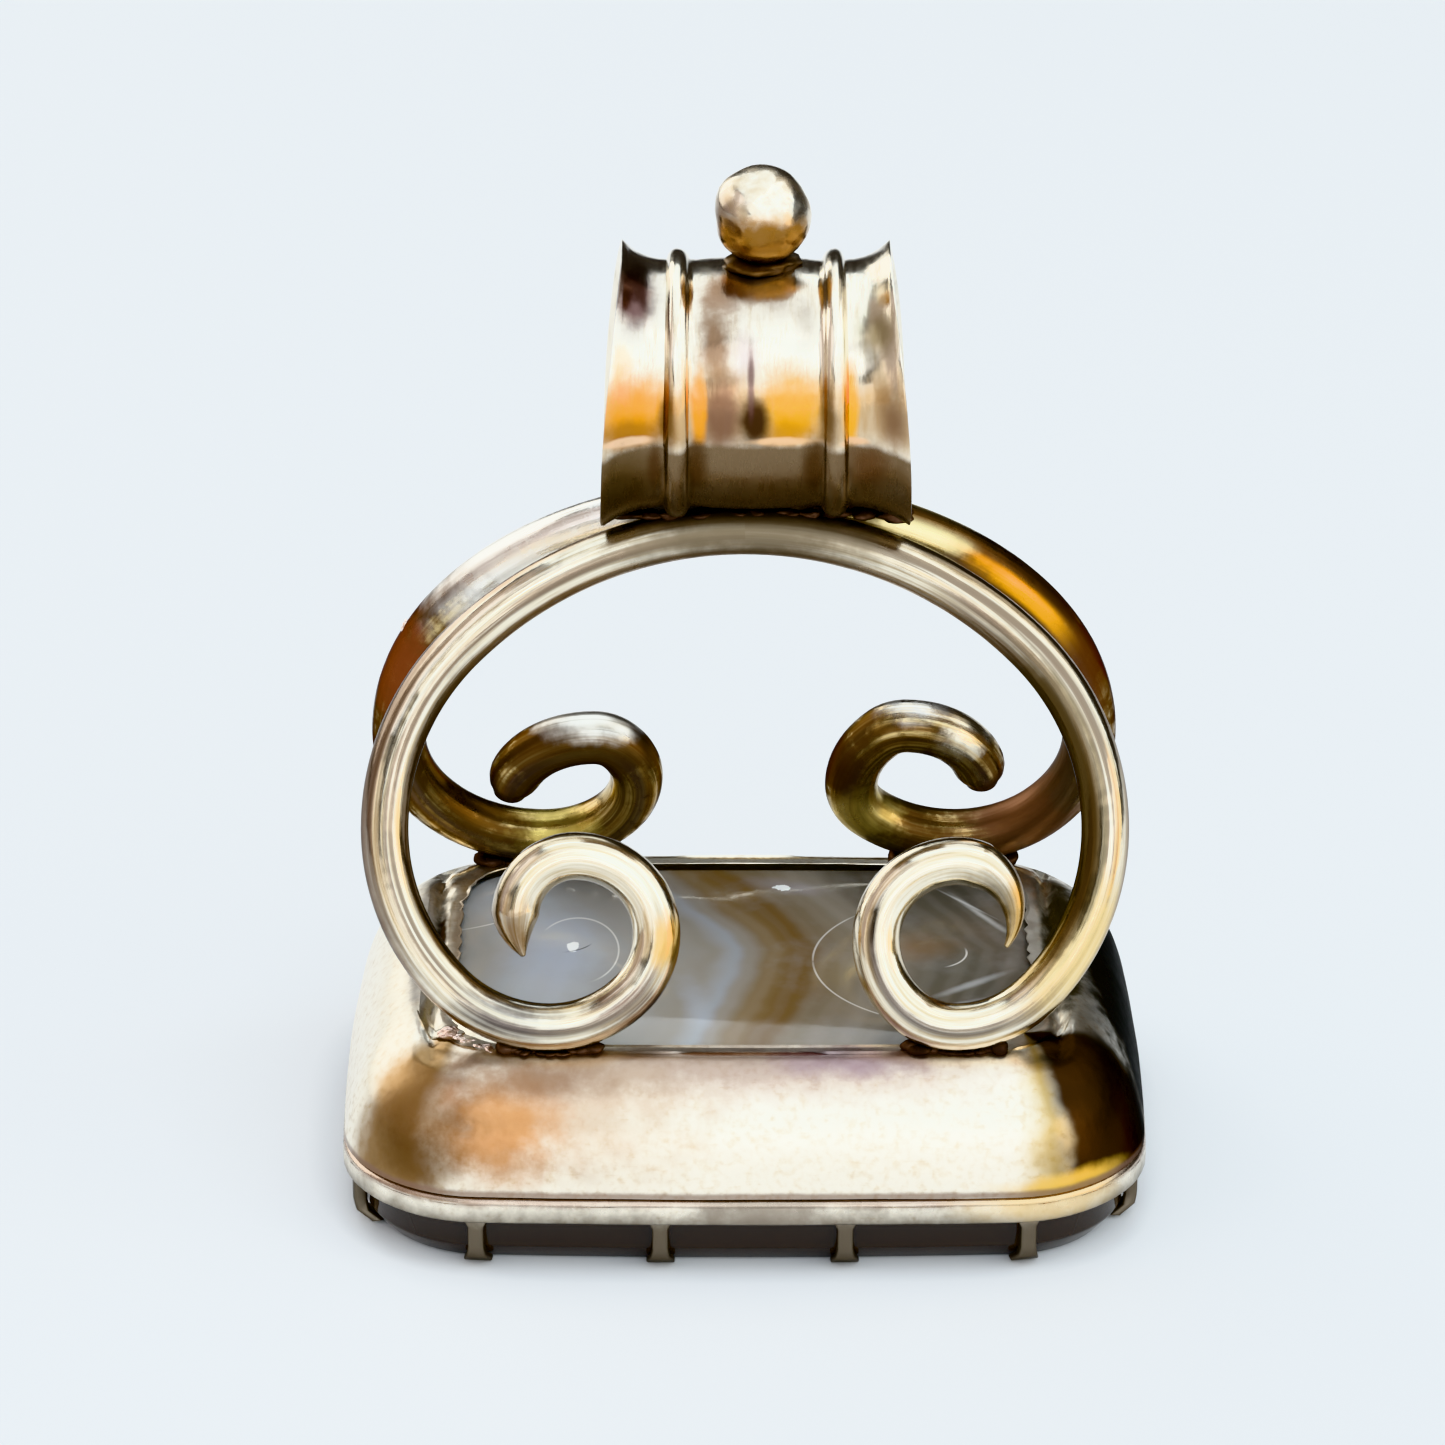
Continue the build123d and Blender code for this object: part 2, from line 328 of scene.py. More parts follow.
@dataclass(frozen=True)
class GoldFinish:
    """Worn low-carat gold with its tarnish, grime and working marks, and light and shade painted into its
    colour.

    The fine marks go from the deep colour to the bright one over marks_range and change the roughness by
    rough_spread. Tarnish is how much of the metal its film covers, and the hollow share how dark hollows
    get, with grime and painted shade.
    """

    name: str
    grain: Grain
    roughness: float
    tarnish: float
    mark_depth: float
    bright: Colour = (0.90, 0.83, 0.70)
    deep: Colour = (0.60, 0.49, 0.35)
    grime: Colour = (0.10, 0.055, 0.03)
    marks_range: tuple[float, float] = (0.30, 0.70)
    hollow_grime_and_shade_share: float = 0.85
    streak_share: float = 0.5
    curl_streaks: float = 1.0
    film_edge: float = 0.18
    rough_spread: float = 0.30
    streak: Colour = (0.28, 0.20, 0.13)
    # The band, stripe and side film colours are painted dark reflections along a drawn wire; the film is
    # tarnish too.
    band: Colour = (0.21, 0.155, 0.11)
    curl_shade_stripe: Colour = (0.11, 0.085, 0.075)
    side_film_and_shade: Colour = (0.34, 0.23, 0.18)
    # Hollows darken towards this: grime, and painted shade where the surface is occluded.
    hollow_grime_and_shade: Colour = (0.035, 0.018, 0.012)
    stains_and_light: tuple[StainOrLight | CornerStainOrLight | LongStainOrLight, ...] = ()

    def marks(self, graph: Graph) -> Socket:
        """The fine marks of how the metal was worked.

        Args:
            graph: The material's nodes.

        Returns:
            Their height, from 0 to 1.
        """
        if self.grain is Grain.DRAWN:
            along = graph.moved(graph.attribute("grain"), scale=(0.06, 1, 1))
            return graph.cloud(along, 6.0, 4.0, 0.6)
        if self.grain is Grain.TURNED:
            round_axis = graph.moved(graph.place, scale=(1.0, 0.16, 0.16))
            return graph.cloud(round_axis, 6.0, 5.0, 0.62)
        if self.grain is Grain.CAST:
            return graph.cloud(graph.place, 2.4, 3.0, 0.5)
        scratches_and_reflections = graph.cloud(graph.place, 5.0, 2.0, 0.5)
        for angle in (18, -37, 74):
            run = graph.moved(graph.place, turn=(angle, 0, angle), scale=(0.9, 9.0, 9.0))
            line = graph.ease(graph.cloud(run, 1.6, 2.0, 0.5), 0.64, 0.70)
            scratches_and_reflections = graph.minus(scratches_and_reflections, graph.times(line, 0.07))
        return scratches_and_reflections

    def long_marks(self, graph: Graph) -> Socket:
        """Broad streaks along a drawn wire, or round a turned tube.

        Args:
            graph: The material's nodes.

        Returns:
            Their strength, from 0 to 1.
        """
        if self.grain is Grain.DRAWN:
            return graph.cloud(graph.moved(graph.attribute("grain"), scale=(0.03, 1, 1)), 3.6, 3.0, 0.55)
        return graph.cloud(graph.moved(graph.place, scale=(1.0, 0.14, 0.14)), 2.6, 4.0, 0.6)

    def streaked(self, graph: Graph, colour: Socket) -> Socket:
        """Adds what runs along a drawn wire. Its arms are the arch, outside and above the curls.

        Brown streaks run along all of it. A brown band along the arms' right halves and a dark stripe along
        the curls' feet are painted dark reflections, and a film covers both sides of the arms: tarnish and
        painted dark reflection.

        Args:
            graph: The material's nodes.
            colour: The metal's colour so far.

        Returns:
            The colour with all four.
        """
        x, _, height = graph.split(graph.place)
        _, inwards, _ = graph.split(graph.attribute("grain"))
        to_right = graph.times(inwards, graph.times(graph.maths("SIGN", x), -1.0))
        arms = graph.ease(graph.maths("ABSOLUTE", x), 6.2, 7.6)
        arms = graph.maths("MAXIMUM", arms, graph.ease(height, 11.5, 13.0))
        marks = self.long_marks(graph)
        streaks = graph.ease(marks, 0.46, 0.62, 0.0, self.streak_share)
        streaks = graph.times(streaks, graph.ease(arms, 0.0, 1.0, self.curl_streaks, 1.0))
        colour = graph.blend(streaks, colour, self.streak)
        # Painted dark reflection: a brown band along the arms' right halves.
        band = graph.maths("MAXIMUM", graph.ease(to_right, -0.12, 0.06), graph.ease(x, 4.0, 6.0))
        edge = graph.ease(graph.minus(to_right, graph.ease(x, 2.0, 6.0, 0.0, 0.16)), 0.48, 0.32)
        band = graph.times(band, edge, graph.ease(marks, 0.36, 0.54, 0.35, 0.95), arms)
        colour = graph.blend(band, colour, self.band)
        # Painted dark reflection: a dark stripe along the curls' feet.
        curl_shade_stripe = graph.times(
            graph.ease(inwards, -0.50, -0.30),
            graph.ease(inwards, 0.10, -0.08),
            graph.ease(marks, 0.36, 0.60, 0.6, 0.9),
            graph.ease(height, 9.6, 8.4),
            graph.minus(1.0, arms),
        )
        colour = graph.blend(curl_shade_stripe, colour, self.curl_shade_stripe)
        # A film on both sides of the arms: tarnish and painted dark reflection.
        ragged = graph.times(graph.cloud(graph.place, 1.2, 4.0, 0.6), 0.3)
        film = graph.ease(graph.plus(graph.maths("ABSOLUTE", inwards), ragged), 0.80, 1.12)
        film = graph.times(film, graph.times(arms, graph.ease(x, 2.0, 6.0, 0.85, 0.5)))
        return graph.blend(film, colour, self.side_film_and_shade)

    def tarnished(self, graph: Graph, marks: Socket) -> tuple[Socket, Socket]:
        """The metal's colour and roughness under its tarnish, before its stains and painted light.

        Args:
            graph: The material's nodes.
            marks: The height of its fine marks.

        Returns:
            The colour and the roughness.
        """
        broad = graph.times(graph.cloud(graph.place, 0.45, 4.0, 0.6), 0.7)
        fine = graph.times(graph.cloud(graph.place, 3.2, 5.0, 0.65), 0.3)
        start = 0.62 - 0.25 * self.tarnish
        film = graph.ease(graph.plus(broad, fine), start, start + self.film_edge)
        low, high = self.marks_range
        colour = graph.blend(graph.ease(marks, low, high), self.deep, self.bright)
        colour = graph.blend(graph.times(film, self.tarnish), colour, self.grime)
        dullest = self.roughness * (1 + self.rough_spread)
        brightest = self.roughness * (1 - self.rough_spread)
        rough = graph.ease(marks, 0.25, 0.75, dullest, brightest)
        return colour, graph.plus(rough, graph.times(film, 0.16 * self.tarnish))

    def material(self) -> Material:
        """Builds the finish.

        Returns:
            The material.
        """
        graph = Graph(self.name)
        marks = self.marks(graph)
        colour, rough = self.tarnished(graph, marks)
        if self.grain is Grain.DRAWN:
            colour = self.streaked(graph, colour)
        # Stains, and patches of painted highlight, reflection and shade, laid over the metal's colour.
        for stain_or_light in self.stains_and_light:
            share = graph.times(stain_or_light.share(graph), stain_or_light.strength)
            if stain_or_light.streaky:
                streaks = graph.ease(self.long_marks(graph), 0.40, 0.58, 1 - stain_or_light.streaky, 1.0)
                share = graph.times(share, streaks)
            colour = graph.blend(share, colour, stain_or_light.colour)
            if stain_or_light.dulls:
                rough = graph.plus(rough, graph.times(share, stain_or_light.dulls))
        # Hollows, and places under and between parts, darken by their occlusion: grime and painted shade.
        if self.hollow_grime_and_shade_share:
            occlusion = graph.node("AmbientOcclusion", "AO", {"Distance": 0.7 * MM}, samples=8)
            hollow_grime_and_shade = graph.ease(occlusion, 0.70, 0.15, 0.0, self.hollow_grime_and_shade_share)
            colour = graph.blend(hollow_grime_and_shade, colour, self.hollow_grime_and_shade)
        soft = graph.bump(graph.cloud(graph.place, 0.8, 2.0, 0.5), 0.035)
        if self.grain is Grain.SHEET:
            soft = graph.bump(graph.cloud(graph.place, 3.0, 2.0, 0.5), 0.006, soft)
        graph.shade(
            Base_Color=colour,
            Specular_Tint=graph.ease(colour, 0.03, 0.30, 0.30, 1.0),
            Roughness=rough,
            Metallic=1.0,
            Normal=graph.bump(marks, self.mark_depth, soft),
        )
        return graph.material


@dataclass(frozen=True)
class Vein:
    """One line or cloud in the agate, seen from above: its middle, its half length and half width."""

    x: float
    y: float
    turn: float
    length: float
    width: float
    colour: Colour
    strength: float

    def share(self, graph: Graph) -> Socket:
        """How much of the vein a point of the stone has.

        Args:
            graph: The material's nodes.

        Returns:
            The share, from 0 to 1.
        """
        local = graph.moved(graph.place, shift=(-self.x, -self.y, 0))
        local = graph.moved(local, turn=(0, 0, -self.turn))
        local = graph.moved(local, scale=(1 / self.length, 1 / self.width, 0))
        ragged = graph.times(graph.cloud(graph.place, 1.1, 3.0, 0.6), 0.7)
        return graph.times(graph.ease(graph.plus(graph.length(local), ragged), 1.35, 0.35), self.strength)


@dataclass(frozen=True)
class RoundReflection:
    """A thin line along an arc on the stone's back: a painted reflection of a scroll's wire in the polished
    stone. It may be stretched along Y.

    Angles are degrees from +X towards +Y.
    """

    x: float
    y: float
    radius: float
    start: float
    end: float
    strength: float
    width: float = 0.035
    colour: Colour = (0.98, 0.95, 0.90)
    stretch: float = 1.0

    def share(self, graph: Graph) -> Socket:
        """How much of the painted reflection a point of the stone has.

        Args:
            graph: The material's nodes.

        Returns:
            The share, from 0 to 1.
        """
        shift = (-self.x, -self.y / self.stretch, 0)
        flat = graph.moved(graph.place, shift=shift, scale=(1, 1 / self.stretch, 0))
        off = graph.maths("ABSOLUTE", graph.minus(graph.length(flat), self.radius))
        line = graph.ease(off, self.width, 0.4 * self.width)
        part = graph.between_angles((self.x, self.y, 0), self.start, self.end, 12)
        return graph.times(line, part, self.strength)


@dataclass(frozen=True)
class AgateFinish:
    """Polished grey-brown agate: a pointed band across it, milky clouds, pale veins, and thin arcs of painted
    reflection.
    """

    name: str = "agate"
    point_x: float = -0.11
    point_y: float = 0.44
    back_slope: float = 0.476
    front_slope: float = 0.198
    layers: tuple[tuple[float, Colour], ...] = (
        (-7.0, (0.300, 0.290, 0.268)),
        (-4.4, (0.450, 0.465, 0.490)),
        (-2.2, (0.360, 0.345, 0.320)),
        (-0.9, (0.315, 0.285, 0.245)),
        (-0.25, (0.345, 0.350, 0.365)),
        (0.15, (0.290, 0.255, 0.215)),
        (0.8, (0.235, 0.165, 0.090)),
        (1.7, (0.180, 0.110, 0.045)),
        (2.7, (0.225, 0.180, 0.125)),
        (3.8, (0.270, 0.235, 0.190)),
        (5.4, (0.145, 0.130, 0.105)),
        (7.5, (0.120, 0.108, 0.090)),
    )
    veins: tuple[Vein, ...] = (
        Vein(4.64, 0.5, 20, 1.5, 1.3, (0.230, 0.135, 0.065), 0.55),
        Vein(6.3, 2.6, -59, 1.9, 0.16, (0.55, 0.54, 0.52), 0.7),
        Vein(5.9, 3.3, -50, 1.6, 0.07, (0.65, 0.64, 0.62), 0.65),
        Vein(5.9, -1.6, 37, 1.6, 0.22, (0.48, 0.48, 0.48), 0.65),
        Vein(5.2, -2.9, 25, 1.6, 0.16, (0.52, 0.52, 0.54), 0.55),
        Vein(-5.0, 0.4, 80, 3.4, 1.7, (0.42, 0.45, 0.54), 0.55),
        Vein(-1.3, -2.6, 98, 2.6, 0.55, (0.42, 0.44, 0.50), 0.45),
        Vein(1.2, 4.3, -20, 1.6, 0.6, (0.36, 0.33, 0.37), 0.5),
    )
    specks: tuple[tuple[Point, Point], ...] = (
        ((1.05, 4.24, 5.17), (0.26, 0.22, 1)),
        ((-4.51, 0.68, 5.17), (0.17, 0.36, 1)),
    )
    # Painted reflections of the scrolls' wires in the polished stone, as thin pale and dark arcs.
    scratches_and_reflections: tuple[RoundReflection, ...] = (
        RoundReflection(-4.4, 0.4, 1.1, -70, 118, 0.5, 0.03, stretch=1.8),
        RoundReflection(5.55, -0.2, 3.75, 135, 178, 0.45),
        RoundReflection(5.55, -0.2, 3.75, -178, -115, 0.45),
        RoundReflection(4.9, 0.3, 0.95, -60, 5, 0.6),
        RoundReflection(-9.0, 6.0, 4.6, -72, -50, 0.5),
        RoundReflection(-4.9, 1.3, 1.0, -70, -35, 0.8, 0.03, (0.02, 0.02, 0.02)),
    )

    def layered(self, graph: Graph) -> Socket:
        """The colour of the layers that run across the stone to a point at the left.

        Args:
            graph: The material's nodes.

        Returns:
            Their colour.
        """
        sway = 1.3
        wave = graph.node("TexNoise", "Color", {"Vector": graph.place, "Scale": 0.28, "Detail": 3.0})
        moved = {0: wave, 1: (sway,) * 3, 2: graph.place}
        swayed = graph.node("VectorMath", "Vector", moved, operation="MULTIPLY_ADD")
        x, y, _ = graph.split(graph.moved(swayed, shift=(-sway / 2,) * 3))
        behind = graph.maths("MAXIMUM", graph.minus(y, self.point_y), 0.0)
        before = graph.maths("MAXIMUM", graph.minus(self.point_y, y), 0.0)
        along = graph.plus(graph.minus(x, self.point_x), graph.times(behind, self.back_slope))
        along = graph.plus(along, graph.times(before, self.front_slope))
        low, high = self.layers[0][0], self.layers[-1][0]
        ramp = graph.nodes.new("ShaderNodeValToRGB")
        ramp.color_ramp.interpolation = "EASE"
        while len(ramp.color_ramp.elements) < len(self.layers):
            ramp.color_ramp.elements.new(0.5)
        for element, (at, colour) in zip(ramp.color_ramp.elements, self.layers):
            element.position = (at - low) / (high - low)
            element.color = (*colour, 1)
        span = graph.node("MapRange", "Result", {"Value": along, "From Min": low, "From Max": high})
        graph.feed(ramp.inputs["Fac"], span)
        lines = graph.ease(graph.maths("SINE", graph.times(along, 9.0)), -1.0, 1.0)
        return graph.blend(graph.times(lines, 0.10), ramp.outputs["Color"], (0.40, 0.36, 0.32))

    def material(self) -> Material:
        """Builds the finish.

        Returns:
            The material.
        """
        graph = Graph(self.name)
        colour = self.layered(graph)
        mist = graph.ease(graph.cloud(graph.place, 0.5, 4.0, 0.6), 0.45, 0.75)
        colour = graph.blend(graph.times(mist, 0.25), colour, (0.34, 0.32, 0.31))
        for vein in self.veins:
            colour = graph.blend(vein.share(graph), colour, vein.colour)
        _, _, height = graph.split(graph.place)
        # Painted shade: the stone's sides go near black below 3.2 mm, under the collar; the agate's body is
        # dark there too.
        colour = graph.blend(graph.ease(height, 3.2, 1.6), colour, (0.022, 0.012, 0.006))
        for where, reach in self.specks:
            speck = graph.near(where, reach, ragged=0.9, soft=0.08, grit=4.5)
            colour = graph.blend(graph.times(speck, 0.9), colour, (0.98, 1.0, 1.0))
        # Painted reflections of the scrolls, as thin arcs.
        for reflection_arc in self.scratches_and_reflections:
            colour = graph.blend(reflection_arc.share(graph), colour, reflection_arc.colour)
        graph.shade(
            Base_Color=colour,
            Roughness=graph.ease(graph.cloud(graph.place, 2.0, 4.0, 0.6), 0.35, 0.75, 0.05, 0.16),
            IOR=1.54,
            Subsurface_Weight=0.35,
            Subsurface_Radius=(1.0, 0.8, 0.65),
            Subsurface_Scale=0.8 * MM,
            Normal=graph.bump(graph.cloud(graph.place, 0.35, 2.0, 0.4), 0.02),
        )
        return graph.material


def bevel(mesh: Mesh, geom: list, offset: float, segments: int, affect: str = "EDGES") -> None:
    """Rounds edges, or corners where affect is VERTICES."""
    round_off = dict(offset=offset, segments=segments, profile=0.5, affect=affect, material=-1)
    bmesh.ops.bevel(mesh, geom=geom, **round_off)


def only(kind: type, geom: list) -> list:
    """Returns the items of one kind, vertices or edges, of what an operator made."""
    return [item for item in geom if isinstance(item, kind)]


@dataclass(frozen=True)
class Cushion:
    """A rectangle with bowed sides and round corners, seen from above."""

    width: float
    depth: float
    corner: float
    bow: float
    corner_steps: int = 14
    side_cuts: int = 27

    def drawn_in(self, inset: float) -> "Cushion":
        """Returns the outline moved in all round."""
        return Cushion(self.width - 2 * inset, self.depth - 2 * inset, self.corner - inset, self.bow)

    def towards(self, other: "Cushion", share: float) -> "Cushion":
        """Returns the outline at a share of the way to another."""
        sizes = zip(astuple(self)[:4], astuple(other)[:4])
        return Cushion(*(here + (there - here) * share for here, there in sizes))

    def put(self, vert: Vert, station: tuple[float, ...], height: float) -> None:
        """Puts a vertex at its station on this outline.

        Args:
            vert: The vertex.
            station: Its place on the corners' rectangle, as shares, and its direction out from there.
            height: Its height.
        """
        half_x = self.width / 2 - self.bow
        half_y = self.depth / 2 - self.bow
        share_x, share_y, out_x, out_y = station
        x = (half_x - self.corner) * share_x + self.corner * out_x
        y = (half_y - self.corner) * share_y + self.corner * out_y
        bow_x = self.bow * (1 - (y / half_y) ** 2) * x / half_x
        bow_y = self.bow * (1 - (x / half_x) ** 2) * y / half_y
        vert.co = (x + bow_x, y + bow_y, height)

    def draw(self, mesh: Mesh, height: float) -> list[Edge]:
        """Draws the outline as a closed loop of edges.

        Args:
            mesh: The empty mesh that takes the loop.
            height: The loop's height.

        Returns:
            The loop's edges.
        """
        layer = mesh.verts.layers.float_color.new("station")
        half_x = self.width / 2 - self.bow
        half_y = self.depth / 2 - self.bow
        corners = bmesh.ops.create_grid(mesh, x_segments=1, y_segments=1, size=1)["verts"]
        bmesh.ops.scale(mesh, vec=(half_x, half_y, 1), verts=corners)
        bevel(mesh, corners, self.corner, self.corner_steps, "VERTICES")
        bmesh.ops.delete(mesh, geom=list(mesh.faces), context="FACES_ONLY")
        sides = sorted(mesh.edges, key=lambda edge: edge.calc_length())[-4:]
        bmesh.ops.subdivide_edges(mesh, edges=sides, cuts=self.side_cuts)
        flat_x = half_x - self.corner
        flat_y = half_y - self.corner
        for vert in mesh.verts:
            share_x = min(max(vert.co.x / flat_x, -1), 1)
            share_y = min(max(vert.co.y / flat_y, -1), 1)
            out_x = (vert.co.x - flat_x * share_x) / self.corner
            out_y = (vert.co.y - flat_y * share_y) / self.corner
            vert[layer] = (share_x, share_y, out_x, out_y)
            self.put(vert, vert[layer], height)
        return list(mesh.edges)

    def carry(self, mesh: Mesh, ring: list[Edge], height: float) -> list[Edge]:
        """Extrudes a loop onto this outline.

        Args:
            mesh: The mesh that holds the loop.
            ring: The loop's edges.
            height: The new loop's height.

        Returns:
            The new loop's edges.
        """
        layer = mesh.verts.layers.float_color["station"]
        made = bmesh.ops.extrude_edge_only(mesh, edges=ring)["geom"]
        for vert in only(Vert, made):
            self.put(vert, tuple(vert[layer]), height)
        return only(Edge, made)

    def places(self, count: int, shift: float) -> list[tuple[Vector, Vector]]:
        """Even places along the outline, from the middle of the front towards +X.

        Args:
            count: How many places.
            shift: How far all of them are moved along the outline.

        Returns:
            Each place with its direction inwards.
        """
        mesh = bmesh.new()
        edges = self.draw(mesh, 0)
        points = {tuple(vert.co) for edge in edges for vert in edge.verts}
        mesh.free()
        loop = [Vector(point) for point in sorted(points, key=lambda p: math.atan2(p[0], -p[1]) % math.tau)]
        loop.append(loop[0])
        spans = [(b - a).length for a, b in zip(loop, loop[1:])]
        total = sum(spans)
        first = Vector((0, -self.depth / 2, 0))
        lead = (loop[0] - first).length
        found = []
        for index in range(count):
            left = ((index + 0.5) * total / count + shift - lead) % total
            for start, end, span in zip(loop, loop[1:], spans):
                if left <= span:
                    tangent = (end - start).normalized()
                    found.append((start.lerp(end, left / span), Vector((-tangent.y, tangent.x, 0))))
                    break
                left -= span
        return found


@dataclass(frozen=True)
class Level:
    """A point of a profile: a share of its inset and a share of its rise."""

    inset: float
    rise: float


# The collar's slope, from the lip at the girdle to the rim.
SLOPE = (Level(0.00, 0.00), Level(0.13, 0.33), Level(0.42, 0.70), Level(1.00, 1.00))


def through(levels: tuple[Level, ...], share: float) -> Level:
    """The smooth curve through evenly spaced levels, at a share of its run.

    Args:
        levels: The levels that the curve passes.
        share: From 0 at the first level to 1 at the last.

    Returns:
        The level there.
    """
    inset = rise = 0.0
    knots = [index / (len(levels) - 1) for index in range(len(levels))]
    for knot, level in zip(knots, levels):
        weight = 1.0
        for other in knots:
            if other != knot:
                weight *= (share - other) / (knot - other)
        inset += weight * level.inset
        rise += weight * level.rise
    return Level(inset, rise)


def hand_made(mesh: Mesh, depth: float, scale: float, seed: float) -> None:
    """Sinks the surface softly and unevenly, as hand work does.

    Args:
        mesh: The mesh.
        depth: The deepest that it sinks.
        scale: Waves per millimetre.
        seed: Moves the pattern.
    """
    bmesh.ops.recalc_face_normals(mesh, faces=mesh.faces)
    mesh.normal_update()
    offset = Vector((seed, 2.3 * seed, -1.7 * seed))
    for vert in mesh.verts:
        wave = noise.noise(vert.co * scale + offset)
        vert.co -= vert.normal * depth * (0.5 + 0.5 * wave)


def finish_piece(mesh: Mesh, name: str, material: Material, slot: Slot, *nodes: str, sharp: float) -> None:
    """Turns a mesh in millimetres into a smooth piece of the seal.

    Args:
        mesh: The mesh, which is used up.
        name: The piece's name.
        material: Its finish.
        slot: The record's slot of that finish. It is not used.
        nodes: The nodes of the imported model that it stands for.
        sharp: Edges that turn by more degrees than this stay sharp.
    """
    bmesh.ops.remove_doubles(mesh, verts=mesh.verts, dist=MERGE)
    bmesh.ops.dissolve_degenerate(mesh, edges=mesh.edges, dist=0.4 * MERGE)
    bmesh.ops.recalc_face_normals(mesh, faces=mesh.faces)
    for edge in mesh.edges:
        edge.smooth = not (len(edge.link_faces) == 2 and edge.calc_face_angle(0) > math.radians(sharp))
    for face in mesh.faces:
        face.smooth = True
    bmesh.ops.scale(mesh, vec=(MM, MM, MM), verts=mesh.verts)
    data = bpy.data.meshes.new(name)
    mesh.to_mesh(data)
    mesh.free()
    data.materials.append(material)
    piece = bpy.data.objects.new(name, data)
    bpy.context.scene.collection.objects.link(piece)
    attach(piece, BODY)
    if nodes:
        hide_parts(*nodes)
    LOG.info("%s: %d faces", name, len(data.polygons))


def add_lump(mesh: Mesh, where: Point, reach: Point, rough: float, seed: float, detail: int = 4) -> None:
    """Adds a melted lump of metal.

    Args:
        mesh: The mesh that takes the lump.
        where: The lump's middle.
        reach: Its half sizes.
        rough: How far its surface wanders, as a share of its size.
        seed: Moves the pattern.
        detail: How often its faces are halved.
    """
    verts = bmesh.ops.create_icosphere(mesh, subdivisions=detail, radius=1)["verts"]
    offset = Vector((seed, -seed, 0.5 * seed))
    for vert in verts:
        wave = noise.noise(vert.co * 1.3 + offset) + 0.5 * noise.noise(vert.co * 3.1 + offset)
        vert.co *= 1 + rough * wave
    bmesh.ops.scale(mesh, vec=reach, verts=verts)
    bmesh.ops.translate(mesh, vec=where, verts=verts)


